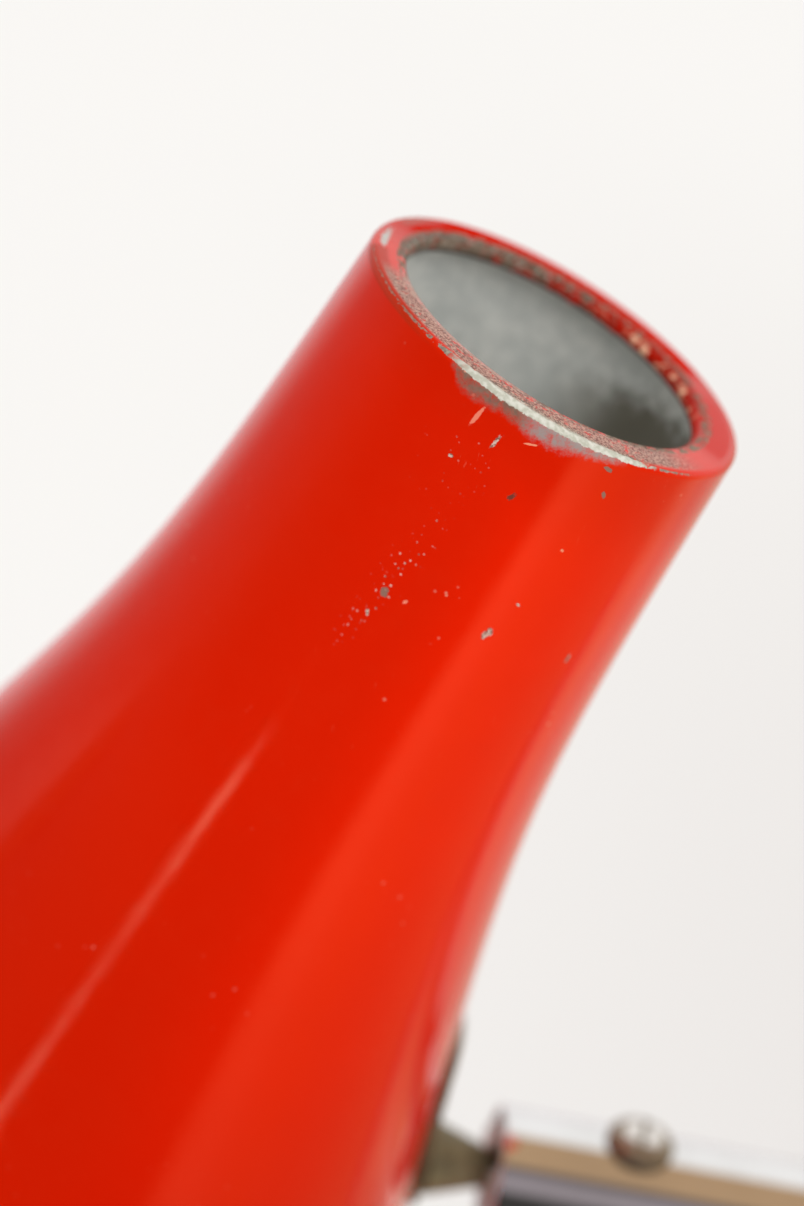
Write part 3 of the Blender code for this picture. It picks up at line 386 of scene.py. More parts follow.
    # painted shade: the red darkened on the side past azimuth -100, within about 20 mm of the crease all round, and
    # more low down on that side
    painted_side_shade = net.most(net.smooth(az, -80.0, -100.0), net.smooth(s, 22.0, 2.0) * 1.3) * 0.5
    painted_side_shade = net.least(painted_side_shade + net.smooth(az, -85.0, -105.0) * net.smooth(s, 60.0, 125.0) * 0.35, 1.0)
    red = net.mix(painted_side_shade, red, (0.56, 0.0095, 0.0003))
    cream = net.mix(net.smooth(net.noise(p, 1.3, 3), 0.35, 0.65), (0.44, 0.44, 0.36), (0.62, 0.61, 0.54))
    brown = net.mix(net.smooth(net.noise(p, 2.2, 3), 0.4, 0.6), (0.085, 0.05, 0.028), (0.26, 0.19, 0.13))
    primer = net.mix(bluish, net.mix(net.noise(p, 1.2, 3), (0.085, 0.08, 0.055), (0.22, 0.19, 0.14)), (0.27, 0.29, 0.275))

    colour = red
    colour = net.mix(haze * 0.88, colour, primer)
    tint = {"pale": (0.80, 0.20, 0.12), "peach": (0.80, 0.26, 0.14), "dark": (0.17, 0.03, 0.015), "grey": (0.26, 0.13, 0.095)}
    mixed = net.mix(net.smooth(net.noise(p, 2.6, 3), 0.42, 0.58), (0.24, 0.09, 0.06), (0.60, 0.44, 0.37))
    chips = None
    for mask, kind in marks:
        colour = net.mix(mask, colour, mixed if kind == "mixed" else tint[kind])
        chips = mask if chips is None else net.most(chips, mask)
    colour = net.mix(trail, colour, net.mix(net.smooth(net.noise(p, 2.0, 2), 0.42, 0.58), (0.25, 0.10, 0.07), (0.72, 0.42, 0.34)))
    colour = net.mix(pins * 0.8, colour, (0.75, 0.30, 0.2))
    colour = net.mix(hair * 0.30, colour, (0.8, 0.16, 0.09))
    colour = net.mix(dark_line, colour, brown)
    colour = net.mix(strip, colour, net.mix(net.most(net.least(side, net.smooth(az, -58.0, -66.0)), 0.25), brown, cream))
    colour = net.mix(lip_wear, colour, brown)
    # painted shade: the outer part of the flange on the left darkened to red-brown
    colour = net.mix(outer_left * 0.55, colour, (0.30, 0.035, 0.012))
    # rubbed brown wear on the near flange; its lighter pinkish tones are partly a painted highlight
    colour = net.mix(rubbed_and_sheen * 0.9, colour, net.mix(net.smooth(net.noise(p, 2.9, 4, 0.65), 0.42, 0.58), (0.10, 0.045, 0.03), (0.46, 0.29, 0.22)))
    # painted highlight: pale pink on the roll at the near side of the opening
    colour = net.mix(painted_roll_highlight * 0.75, colour, (0.50, 0.30, 0.25))
    # painted shade: the red of the far lip darkened
    colour = net.mix(band * 0.55, colour, (0.26, 0.006, 0.002))
    colour = net.mix(scabs, colour, net.mix(net.smooth(net.noise(p, 1.8, 3), 0.4, 0.6), (0.055, 0.035, 0.022), (0.20, 0.16, 0.12)))
    colour = net.mix(glints * 0.8, colour, (0.36, 0.32, 0.27))
    # painted highlight: pale peach spots on the far lip
    colour = net.mix(painted_bead_glints, colour, (0.80, 0.46, 0.30))
    colour = net.mix(low_lip, colour, (0.05, 0.035, 0.025))
    # painted highlight: light grey crescent on the crown at the left
    colour = net.mix(painted_crescent_highlight, colour, (0.5, 0.5, 0.47))
    lining = net.mix(net.smooth(net.noise(p, 0.11, 3, 0.55), 0.35, 0.65), (0.70, 0.72, 0.69), (0.80, 0.81, 0.77))
    lining = net.mix(net.smooth(net.noise(p, 0.6, 4, 0.6), 0.55, 0.75, 0, 0.4), lining, (0.58, 0.60, 0.57))
    depth = s * -5.0 - 100.0
    blot = net.noise(p, 0.42, 5, 0.62)
    lining = net.mix(net.smooth(blot, 0.36, 0.66, 0.0, 0.55), lining, (0.52, 0.55, 0.53))
    lining = net.mix(net.smooth(net.noise(p, 1.5, 4, 0.65), 0.56, 0.74, 0.0, 0.35), lining, (0.88, 0.90, 0.88))
    # painted shade: the lining darkens with depth on the side from azimuth about 10 to 78
    painted_interior_shade = net.smooth(depth + net.linear(az, 62.0, 36.0, 0.0, 5.0) + (blot - 0.5) * 12.0, 9.5, 16.5) * net.smooth(az, 78.0, 44.0) * net.smooth(az, -10.0, 10.0)
    lining = net.mix(painted_interior_shade * 0.92, lining, (0.13, 0.115, 0.08))
    colour = net.mix(inside, colour, lining)

    bare = net.most(strip, chips, lip_wear, net.most(low_lip, painted_crescent_highlight, trail * 0.6), haze * 0.7)
    height = net.noise(p, 0.18, 2) * 0.05 + net.noise(p, 1.4, 2) * 0.006 - bare * 0.06 - pins * 0.03 - hair * 0.01
    rough = net.mixf(bare, net.mixf(net.smooth(net.noise(p, 0.25, 3), 0.4, 0.7), 0.10, 0.15), 0.55)
    rough = net.mixf(inside, rough, 0.55)
    flange = net.smooth(s, -0.9, -1.6) * net.smooth(s, -9.4, -8.8)
    away = net.smooth(az, 12.0, 34.0) * net.smooth(az, 176.0, 150.0)
    gloss = net.mixf(net.smooth(s, 1.9, 1.2) * net.smooth(s, -9.4, -8.8) * away, net.smooth(s, 75.0, 115.0, 0.6, 0.42), 0.0)
    gloss = net.mixf(flange * net.smooth(az, -34.0, -22.0) * net.smooth(az, 34.0, 14.0), gloss, 0.08)
    gloss = net.mixf(outer_left, gloss, 0.15)
    gloss = net.mixf(flange * near, gloss, 0.3)
    return {
        "Base Color": colour,
        "Roughness": rough,
        "Specular IOR Level": net.mixf(inside, net.mixf(net.most(bare, rubbed_and_sheen, scabs), gloss, 0.25), 0.3),
        "Specular Tint": net.mix(net.most(bare, inside), (1.0, 0.24, 0.07), (1.0, 1.0, 1.0)),
        "Normal": net.bump(height, 0.6, 0.001),
    }


def cover_look(net):
    p = net.mm()
    split = net.node("ShaderNodeSeparateXYZ", {0: p})
    pins, hair = enamel_wear(net, p)
    z = net.out(split, "Z")
    edge = net.smooth(net.math("ABSOLUTE", z - 24.5), 5.5, 2.0)
    foot = net.smooth(z, 4.5, 2.2)
    chip = net.smooth(net.noise(p, 0.22, 5, 0.62), 0.635, 0.655) * edge
    chip = net.most(chip, net.smooth(net.noise(p, 0.35, 5, 0.6), 0.52, 0.55) * foot)
    red = net.mix(net.smooth(net.noise(p, 0.03, 3), 0.35, 0.7), RED, (0.66, 0.0100, 0.0009))
    bare = net.mix(net.smooth(net.noise(p, 1.1, 3), 0.4, 0.6), (0.10, 0.07, 0.05), (0.6, 0.58, 0.5))
    colour = net.mix(chip, net.mix(pins, net.mix(hair * 0.35, red, (0.8, 0.16, 0.09)), (0.75, 0.30, 0.2)), bare)
    height = net.noise(p, 0.18, 2) * 0.05 - chip * 0.06 - pins * 0.03
    return {"Base Color": colour, "Roughness": net.mixf(chip, 0.13, 0.6), "Specular IOR Level": net.mixf(chip, 0.5, 0.25),
            "Normal": net.bump(height, 0.6, 0.001)}


def metal_look(dark, light, rough, wear=0.3, grime=(0.05, 0.04, 0.03), grain=(1.0, 1.0, 1.0), metallic=1.0, stain=0.5):
    def build(net):
        p = net.mm()
        big = net.noise(p, 0.16, 4, 0.6)
        small = net.noise(p, 1.5, 4, 0.6)
        brushed = net.noise(net.scaled(p, *grain), 3.0, 3, 0.6)
        colour = net.mix(net.smooth(big, 0.35, 0.65), dark, light)
        dirt = net.smooth(small, 0.52, 0.72) * wear
        colour = net.mix(dirt, colour, grime)
        rough_v = net.linear(big * 0.5 + brushed * 0.5, 0.3, 0.7, rough * 0.75, rough * 1.35) + dirt * 0.25
        height = brushed * 0.004 + small * 0.01 * stain
        return {"Base Color": colour, "Metallic": metallic, "Roughness": rough_v, "Normal": net.bump(height, 0.5, 0.001)}

    return build


def chrome_look(net):
    p = net.mm()
    cloud = net.noise(p, 0.09, 4, 0.6)
    pit = net.smooth(net.cells(p, 0.55), 0.16, 0.07) * net.smooth(net.noise(p, 0.12, 3), 0.56, 0.66)
    line = net.smooth(net.noise(net.scaled(p, 0.05, 1.6, 1.6), 2.4, 3, 0.6), 0.66, 0.74)
    colour = net.mix(net.smooth(cloud, 0.35, 0.7), (0.84, 0.83, 0.825), (0.77, 0.76, 0.75))
    colour = net.mix(pit, colour, (0.16, 0.11, 0.07))
    rough = net.mixf(net.smooth(cloud, 0.45, 0.75), 0.05, 0.11) + line * 0.12 + pit * 0.5
    graze = net.out(net.node("ShaderNodeLayerWeight", {"Blend": 0.5}), "Facing")
    place = net.node("ShaderNodeSeparateXYZ", {0: p})
    rise = net.out(place, "Z") - ARM_HEIGHT
    reach = net.math("SQRT", net.out(place, "Y") * net.out(place, "Y") + rise * rise)
    mouth = net.smooth(net.out(place, "X"), TUBE_MOUTH_X + 14.0, TUBE_MOUTH_X + 5.0) * net.smooth(reach, TUBE_R - 0.04, TUBE_R - 0.2)
    # painted highlight: pale, less metallic colour at grazing angles and inside the mouth of the tube
    painted_pale_sheen = net.most(net.smooth(graze, 0.85, 1.0, 0.0, 0.4), mouth * 0.8)
    colour = net.mix(painted_pale_sheen, colour, (0.86, 0.87, 0.90))
    return {"Base Color": colour, "Metallic": net.least(net.mixf(pit, 1.0, 0.4), 1.0 - painted_pale_sheen), "Roughness": rough + painted_pale_sheen * 0.3,
            "Normal": net.bump(cloud * 0.01 - pit * 0.03 - line * 0.002, 0.4, 0.001)}


def patina_look(net):
    p = net.mm()
    cloud = net.noise(p, 0.3, 4, 0.6)
    fine = net.noise(p, 2.2, 4, 0.65)
    ring = net.noise(net.scaled(p, 3.0, 0.5, 0.5), 1.0, 3)
    colour = net.mix(net.smooth(cloud, 0.3, 0.7), (0.145, 0.112, 0.060), (0.25, 0.195, 0.105))
    colour = net.mix(net.smooth(fine, 0.5, 0.72, 0, 0.7), colour, (0.05, 0.04, 0.026))
    colour = net.mix(net.smooth(net.noise(p, 0.7, 3), 0.62, 0.74, 0, 0.4), colour, (0.34, 0.30, 0.21))
    return {"Base Color": colour, "Metallic": 0.35, "Roughness": net.linear(cloud + fine * 0.3, 0.4, 0.9, 0.38, 0.62),
            "Normal": net.bump(fine * 0.02 + ring * 0.006, 0.6, 0.001)}


def screw_look(net):
    """Pale on top as a painted highlight, brown with old patina round the side."""
    p = net.mm()
    height = net.out(net.node("ShaderNodeSeparateXYZ", {0: p}), "Z")
    # painted highlight: the top of the head is lighter than its side
    top = net.smooth(height + net.noise(p, 0.8, 3) * 0.5, ARM_HEIGHT + TUBE_R + 2.5, ARM_HEIGHT + TUBE_R + 3.1)
    stain = net.smooth(net.noise(p, 0.9, 4, 0.6), 0.55, 0.7, 0, 0.6)
    side = net.mix(net.noise(p, 0.5, 3), (0.17, 0.13, 0.085), (0.30, 0.235, 0.16))
    colour = net.mix(top, side, net.mix(stain, (0.84, 0.80, 0.76), (0.42, 0.36, 0.29)))
    return {"Base Color": colour, "Metallic": net.mixf(top, 0.6, 1.0), "Roughness": net.mixf(top, 0.34, 0.18) + stain * 0.1,
            "Normal": net.bump(net.noise(p, 1.8, 3) * 0.01, 0.5, 0.001)}


def soft_look(dark, light, rough, scale=0.4, fine=2.0, height=0.02, fleck=None, sheen=0.0, spec=0.5):
    def build(net):
        p = net.mm()
        cloud = net.noise(p, scale, 4, 0.6)
        small = net.noise(p, fine, 4, 0.65)
        colour = net.mix(net.smooth(cloud, 0.32, 0.68), dark, light)
        if fleck:
            colour = net.mix(net.smooth(small, 0.6, 0.75, 0, 0.6), colour, fleck)
        return {"Base Color": colour, "Roughness": net.linear(cloud, 0.3, 0.7, rough * 0.85, min(1.0, rough * 1.15)),
                "Sheen Weight": sheen, "Specular IOR Level": spec,
                "Normal": net.bump(small * height + cloud * height, 0.6, 0.001)}

    return build


def felt_look(net):
    p = net.mm()
    fibre = net.noise(net.scaled(p, 1, 1, 3), 2.2, 5, 0.75, distortion=1.2)
    cloud = net.noise(p, 0.08, 3)
    colour = net.mix(net.smooth(fibre, 0.3, 0.7), (0.015, 0.045, 0.025), (0.05, 0.13, 0.07))
    colour = net.mix(net.smooth(cloud, 0.5, 0.7, 0, 0.4), colour, (0.07, 0.12, 0.07))
    return {"Base Color": colour, "Roughness": 1.0, "Sheen Weight": 0.4, "Specular IOR Level": 0.1,
            "Normal": net.bump(fibre * 0.25, 0.9, 0.001)}


def bulb_look(net):
    p = net.mm()
    cloud = net.noise(p, 0.08, 3)
    return {"Base Color": net.mix(cloud, (0.86, 0.86, 0.83), (0.95, 0.95, 0.93)), "Roughness": net.linear(cloud, 0.3, 0.7, 0.28, 0.4),
            "Transmission Weight": 0.35, "IOR": 1.45, "Subsurface Weight": 0.2, "Subsurface Scale": 0.004,
            "Coat Weight": 0.6, "Coat Roughness": 0.08,
            "Normal": net.bump(net.noise(p, 0.4, 3) * 0.01, 0.4, 0.001)}


LOOK = {
    "red_enamel": cover_look,
    "patinated_brass": patina_look,
    "chrome": chrome_look,
    "brass": metal_look((0.48, 0.32, 0.11), (0.62, 0.44, 0.19), 0.28, 0.5, (0.12, 0.07, 0.03), (0.3, 2.0, 2.0)),
    "steel": metal_look((0.42, 0.42, 0.42), (0.55, 0.55, 0.54), 0.33, 0.35, (0.16, 0.12, 0.09), (2.0, 0.2, 2.0)),
    "cast_iron": metal_look((0.045, 0.045, 0.045), (0.075, 0.07, 0.065), 0.75, 0.5, (0.10, 0.05, 0.025), metallic=0.6, stain=6.0),
    "bakelite": soft_look((0.018, 0.010, 0.007), (0.045, 0.022, 0.013), 0.26, 0.25, 1.4, 0.01, (0.07, 0.04, 0.025)),
    "ceramic": soft_look((0.72, 0.69, 0.62), (0.80, 0.78, 0.72), 0.3, 0.3, 1.5, 0.01, (0.55, 0.5, 0.42)),
    "bulb_glass": bulb_look,
    "black_glass": soft_look((0.008, 0.008, 0.012), (0.02, 0.018, 0.03), 0.12, 0.5, 2.0, 0.006),
    "cap_metal": metal_look((0.58, 0.55, 0.47), (0.72, 0.69, 0.6), 0.3, 0.3, (0.2, 0.15, 0.1)),
    "solder": metal_look((0.4, 0.4, 0.4), (0.56, 0.56, 0.55), 0.38, 0.4, (0.2, 0.19, 0.18), stain=5.0),
    "felt": felt_look,
    "fibre": soft_look((0.20, 0.07, 0.035), (0.30, 0.12, 0.06), 0.7, 0.5, 2.4, 0.03, (0.12, 0.05, 0.03)),
    "black_rubber": soft_look((0.018, 0.018, 0.018), (0.035, 0.034, 0.033), 0.62, 0.3, 1.8, 0.02, (0.06, 0.058, 0.055)),
    "cable_sheath": soft_look((0.022, 0.021, 0.020), (0.042, 0.040, 0.038), 0.45, 0.2, 1.5, 0.012, (0.07, 0.068, 0.066)),
}
MADE = {}
OWN = {"fork_spigot": ("satin_steel", metal_look((0.62, 0.60, 0.58), (0.74, 0.72, 0.70), 0.48, 0.25, (0.22, 0.18, 0.15), (2.0, 0.3, 2.0), metallic=0.45))}


def look(slot):
    if slot not in MADE:
        MADE[slot] = material(slot, LOOK[slot])
    return MADE[slot]


# ---------------------------------------------------------------- fine geometry
def fillet(profile, radius, arc=4, closed=False):
    """Rounds the corners of a list of (r, z) points. radius is one number, or a list with one for each point."""
    n = len(profile)
    radii = radius if isinstance(radius, (list, tuple)) else [radius] * n
    made = []
    for i, p in enumerate(profile):
        if (i in (0, n - 1) and not closed) or radii[i] <= 0:
            made.append(tuple(p))
            continue
        a, b, c = (Vector((*profile[i - 1], 0)), Vector((*p, 0)), Vector((*profile[(i + 1) % n], 0)))
        u, v = a - b, c - b
        if u.length < 1e-6 or v.length < 1e-6:
            made.append(tuple(p))
            continue
        angle = u.angle(v)
        if angle > math.radians(172):
            made.append(tuple(p))
            continue
        cut = min(radii[i] / math.tan(angle / 2), 0.45 * u.length, 0.45 * v.length)
        start, end = b + u.normalized() * cut, b + v.normalized() * cut
        for k in range(arc + 1):
            t = k / arc
            q = start * (1 - t) ** 2 + b * 2 * t * (1 - t) + end * t**2
            made.append((q.x, q.y))
    return made


def frame_at(at, turn=(0, 0, 0)):
    return Matrix.Translation(Vector(at)) @ Euler(turn).to_matrix().to_4x4()


def finish_mesh(name, verts, faces, uvs=None, sharp=38):
    mesh = bpy.data.meshes.new(name)
    mesh.from_pydata([Vector(v) * MM for v in verts], [], faces)
    if uvs is not None:
        layer = mesh.uv_layers.new(name="turned")
        flat = [c for face in uvs for uv in face for c in uv]
        layer.data.foreach_set("uv", flat)
    bm = bmesh.new()
    bm.from_mesh(mesh)
    bmesh.ops.recalc_face_normals(bm, faces=bm.faces)
    bm.to_mesh(mesh)
    bm.free()
    mesh.shade_smooth()
    mesh.set_sharp_from_angle(angle=math.radians(sharp))
    obj = bpy.data.objects.new(name, mesh)
    scene.collection.objects.link(obj)
    return obj


def lathe(name, profile, where, steps=96, closed=True, mark=None, shift=None):
    """Turns a profile about Z of the frame where. mark gives the second UV value of each profile point."""
    verts, rows = [], []
    for i in range(steps):
        a = math.tau * i / steps
        row = []
        for r, z in profile:
            if r <= 1e-9 and i > 0:
                row.append(None)
                continue
            x, y = r * math.cos(a), r * math.sin(a)
            if shift is not None:
                dx, dy = shift(r, z)
                x, y = x + dx, y + dy
            row.append(len(verts))
            verts.append(where @ Vector((x, y, z)))
        rows.append(row)
    poles = {j: rows[0][j] for j, (r, _) in enumerate(profile) if r <= 1e-9}
    for row in rows:
        for j, index in poles.items():
            row[j] = index
    faces, uvs = [], []
    count = len(profile)
    spans = range(count) if closed else range(count - 1)
    for i in range(steps):
        left, right = rows[i], rows[(i + 1) % steps]
        u0, u1 = i / steps, (i + 1) / steps
        for j in spans:
            k = (j + 1) % count
            if j in poles and k in poles:
                continue
            v0, v1 = (mark[j], mark[k]) if mark else (j / count, (j + 1) / count)
            corner = [(left[j], (u0, v0)), (right[j], (u1, v0)), (right[k], (u1, v1)), (left[k], (u0, v1))]
            if j in poles:
                corner.pop(1)
            elif k in poles:
                corner.pop(2)
            faces.append([c[0] for c in corner])
            uvs.append([c[1] for c in corner])
    return finish_mesh(name, verts, faces, uvs)


def sweep(name, path, radius, sides=20, caps=True, end_round=0.0):
    """A round section along a list of points. radius may be a function of the index and the count."""
    pts = [Vector(p) for p in path]
    n = len(pts)
    tangents = []
    for i in range(n):
        a, b = pts[max(i - 1, 0)], pts[min(i + 1, n - 1)]
        tangents.append((b - a).normalized())
    normal = Vector((0, 0, 1)) if abs(tangents[0].z) < 0.9 else Vector((0, 1, 0))
    verts, faces = [], []
    for i in range(n):
        t = tangents[i]
        normal = (normal - t * normal.dot(t)).normalized()
        side = t.cross(normal)
        r = radius(i, n) if callable(radius) else radius
        for k in range(sides):
            a = math.tau * k / sides
            verts.append(pts[i] + (normal * math.cos(a) + side * math.sin(a)) * r)
    for i in range(n - 1):
        for k in range(sides):
            m = (k + 1) % sides
            faces.append([i * sides + k, i * sides + m, (i + 1) * sides + m, (i + 1) * sides + k])
    if caps:
        faces.append(list(range(sides))[::-1])
        faces.append([(n - 1) * sides + k for k in range(sides)])
    return finish_mesh(name, verts, faces)


def grid(name, rows, columns, where, thickness, bevel=0.0):
    verts = [where(c / columns, r / rows) for r in range(rows + 1) for c in range(columns + 1)]
    faces = []
    for r in range(rows):
        for c in range(columns):
            i = r * (columns + 1) + c
            faces.append([i, i + 1, i + columns + 2, i + columns + 1])
    obj = finish_mesh(name, verts, faces, sharp=60)
    if thickness:
        solid = obj.modifiers.new("Sheet", "SOLIDIFY")
        solid.thickness = thickness * MM
        solid.offset = 0.0
        solid.use_even_offset = True
    if bevel:
        edge = obj.modifiers.new("Edge", "BEVEL")
        edge.width = bevel * MM
        edge.segments = 3
        edge.limit_method = "ANGLE"
        edge.angle_limit = math.radians(50)
        edge.harden_normals = True
    return obj


def join(first, *others):
    bm = bmesh.new()
    bm.from_mesh(first.data)
    for o in others:
        bm.from_mesh(o.data)
    bm.to_mesh(first.data)
    bm.free()
    for o in others:
        bpy.data.objects.remove(o, do_unlink=True)
    return first


def block(name, size, where, bevel=0.0):
    sx, sy, sz = (v / 2 for v in size)
    verts = [where @ Vector((x, y, z)) for x in (-sx, sx) for y in (-sy, sy) for z in (-sz, sz)]
    faces = [[0, 1, 3, 2], [4, 6, 7, 5], [0, 4, 5, 1], [2, 3, 7, 6], [0, 2, 6, 4], [1, 5, 7, 3]]
    obj = finish_mesh(name, verts, faces)
    if bevel:
        m = obj.modifiers.new("Edge", "BEVEL")
        m.width = bevel * MM
        m.segments = 3
        m.harden_normals = True
    return obj


def cut(obj, other):
    """Takes other out of obj at once, so that the hole moves with obj at every pose."""
    step = obj.modifiers.new("Cut", "BOOLEAN")
    step.operation = "DIFFERENCE"
    step.solver = "EXACT"
    step.object = other
    bpy.context.view_layer.update()
    graph = bpy.context.evaluated_depsgraph_get()
    done = bpy.data.meshes.new_from_object(obj.evaluated_get(graph), preserve_all_data_layers=True, depsgraph=graph)
    obj.modifiers.clear()
    obj.data = done
    bpy.data.objects.remove(other)
    return obj


def take(obj, *nodes, body=None, slot=None, mat=None):
    """obj stands for these CAD nodes, moves with their body and has their finish."""
    chosen = slot or SLOTS[nodes[0]]
    if nodes:
        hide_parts(*nodes)
    obj.data.materials.clear()
    obj.data.materials.append(mat or look(chosen))
    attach(obj, body or BODY[nodes[0]])
    return obj


ALONG_X = (0, math.radians(90), 0)
ALONG_Y = (math.radians(-90), 0, 0)
LEANING = (0, LEAN, 0)
AXIS = frame_at(RIM, LEANING)


def refine(name, profile, where, steps=96, closed=True, soft=0.2, arc=3, node=None, slot=None, slot_cut=None, mat=None):
    obj = lathe(name, fillet(profile, soft, arc, closed), where, steps, closed)
    if slot_cut is not None:
        cut(obj, slot_cut)
        edge = obj.modifiers.new("Edge", "BEVEL")
        edge.width = 0.08 * MM
        edge.segments = 2
        edge.limit_method = "ANGLE"
        edge.angle_limit = math.radians(50)
    return take(obj, node or name.removesuffix("_fine"), slot=slot, mat=mat)


# ---- shade: wall, crisp crease, flat top, rolled lip, lining, bead at the mouth
def shade_outline():
    points = []  # (r, z, s)
    depth = SHADE_DEPTH - 2.6
    steps = 150
    for k in range(steps + 1):
        d = depth + (1.0 - depth) * (k / steps)
        points.append((shade_r(d), -d, d))
    corner = 1.1
    drop = 0.1  # the top is slightly domed
    cx, cz = shade_r(1.6) - corner, -drop - corner
    while points[-1][1] > cz - 0.1:
        points.pop()
    for k in range(0, 13):
        a = math.radians(3 + 84 * k / 12)
        points.append((cx + corner * math.cos(a), cz + corner * math.sin(a), corner * math.radians(45 - (3 + 84 * k / 12))))
    r0, s0 = cx, points[-1][2] - 0.05
    for r in (28.5, 28.0, 27.4, 26.8, 26.2, 25.7):
        points.append((r, -drop * ((r - 25.7) / (r0 - 25.7)) ** 1.35, s0 - (r0 - r)))
    s1 = s0 - (r0 - 25.7)
    roll = 1.7
    for k in range(1, 9):
        a = math.radians(90 * k / 8)
        points.append((25.7 - roll * math.sin(a), -roll + roll * math.cos(a), s1 - roll * a))
    s2 = s1 - roll * math.pi / 2
    points.append((24.0, -1.95, s2 - 0.6))
    points.append((24.05, -2.25, s2 - 1.15))
    points.append((24.25, -2.45, s2 - 1.6))
    points.append((24.6, -2.5, s2 - 2.0))
    points.append((25.0, -2.35, s2 - 2.5))
    points.append((25.25, -2.05, s2 - 3.0))
    points.append((25.6, -1.7, s2 - 4.0))
    points.append((26.4, -WALL - 0.05, s2 - 5.0))
    points.append((27.6, -WALL, s2 - 6.0))
    points.append((28.4, -1.6, s2 - 7.0))
    points.append((28.75, -2.5, s2 - 8.0))
    inner = SHADE_DEPTH - 4.5
    for k in range(101):
        d = 4.0 + (inner - 4.0) * k / 100
        slope = math.atan(shade_slope(d))
        points.append((shade_r(d) - WALL * math.cos(slope), -d - WALL * math.sin(slope), -20.0 - d * 0.2))
    mouth = shade_r(SHADE_DEPTH)
    bead_r = 1.45
    bx, bz = mouth - 0.95, -SHADE_DEPTH + bead_r
    for k in range(0, 11):
        a = math.radians(195 + (370 - 195) * k / 10)
        s = -64.0 if k < 5 else SHADE_DEPTH - 0.2 * (10 - k)
        points.append((bx + bead_r * math.cos(a), bz + bead_r * math.sin(a), s))
    return points


outline = shade_outline()


def aperture_shift(r, z):
    """The opening is a little out of centre with the crease."""
    if z < -6:
        return (0.0, 0.0)
    w = max(0.0, min(1.0, (28.6 - r) / 2.6))
    return (-0.45 * w, -0.1 * w)


shade_mat = material("shade_enamel", shade_look)
# UV x runs from azimuth -180, so the frame is turned half way round
shade = lathe("shade_fine", [(r, z) for r, z, _ in outline], AXIS @ Matrix.Rotation(math.pi, 4, "Z"), 320, True,
              mark=[s / 300.0 for _, _, s in outline], shift=lambda r, z: tuple(-v for v in aperture_shift(r, z)))
take(shade, "shade", mat=shade_mat, slot="red_enamel")

# ---- saddle plate
PLATE_T, PLATE_W, PLATE_LOW, PLATE_HIGH, PLATE_SCREW_UP = 1.2, 10.5, -6.5, 29.0, 22.5
GAP = 0.3


def plate_point(u, v):
    up = PLATE_LOW + (PLATE_HIGH - PLATE_LOW) * v
    to_end = min(up - PLATE_LOW, PLATE_HIGH - up)
    width = PLATE_W
    if to_end < 8.0:
        width -= 8.0 * (1 - math.sqrt(max(0.0, 1 - (1 - to_end / 8.0) ** 2)))
    return on_shade(JOINT_DEPTH - up * math.cos(LEAN), (u - 0.5) * 2 * max(width, 0.05), GAP + PLATE_T / 2)


plate = grid("saddle_plate_fine", 72, 24, plate_point, PLATE_T, bevel=0.22)
screw_at = on_shade(JOINT_DEPTH - PLATE_SCREW_UP * math.cos(LEAN), 0, 0)
screw_slope = math.atan(shade_slope(JOINT_DEPTH - PLATE_SCREW_UP * math.cos(LEAN)))
SCREW_TURN = (0, math.pi / 2 + LEAN - screw_slope, 0)
HB = GAP + PLATE_T + GAP
screw_frame = frame_at(screw_at, SCREW_TURN)
cut(plate, lathe("plate_sink_cut", [(0, 2.2), (4.96, 2.2), (1.9, 0.26), (1.9, -3.0), (0, -3.0)], screw_frame, 48, False))
cut(plate, lathe("plate_stud_cut", [(0, -7), (4.3, -7), (4.3, 7), (0, 7)], frame_at(JOINT, ALONG_X), 48, False))
take(plate, "saddle_plate")
flush = GAP + PLATE_T
refine("plate_screw_fine",
       [(0, flush + 0.1), (2.6, flush + 0.1), (3.0, flush - 0.15), (1.5, GAP + 0.1), (1.5, -9.5), (0, -9.5)],
       screw_frame, 64, False, soft=0.12,
       slot_cut=block("plate_screw_slot_cut", (9, 0.8, 1.4), screw_frame @ Matrix.Translation((0, 0, flush + 0.3))))

# ---- swivel cone with its two ears
CB, CE = HB, 11.6
cone = lathe("swivel_cone_fine", fillet([(3.4, CE), (3.7, CE - 0.6), (6.45, CB + 0.7), (6.6, CB), (4.0, CB), (4.0, -13.0), (1.9, -13.0), (1.9, CE)],
                                        0.25, 4, True), frame_at(JOINT, ALONG_X), 72)
ears = []
for side in (-1, 1):
    y = side * (1.75 + 2.9) / 2
    ears.append(lathe(f"ear_{side}", fillet([(1.35, -0.575), (2.8, -0.575), (2.8, 0.575), (1.35, 0.575)], 0.12, 3, True),
                      frame_at(PIVOT + Vector((0, y, 0)), ALONG_Y), 40))
    reach = PIVOT_X - (JOINT.x + CE) + 0.2
    ears.append(block(f"ear_arm_{side}", (reach, 1.15, 3.6), Matrix.Translation(PIVOT + Vector((-reach / 2 - 1.2, y, 0)))))
take(join(cone, *ears), "swivel_cone")

# ---- retaining screw: low slotted head on the tube
SCREW_X = PIVOT_X + 20.0
refine("retaining_screw_fine", [(0, TUBE_R + 3.0), (1.6, TUBE_R + 2.93), (3.1, TUBE_R + 2.65), (4.4, TUBE_R + 2.15), (5.3, TUBE_R + 1.5), (5.8, TUBE_R + 0.8), (5.9, TUBE_R + 0.35), (2.0, TUBE_R + 0.35), (2.0, TUBE_R - 3.4),
                                (0, TUBE_R - 3.4)],
       frame_at((SCREW_X, 0, ARM_HEIGHT)), 72, False, soft=0.35,
       slot_cut=block("retaining_slot_cut", (1.2, 14, 2.4), frame_at((SCREW_X, 0, ARM_HEIGHT + TUBE_R + 2.9), (0, 0, math.radians(-12)))),
       mat=material("screw_finish", screw_look))

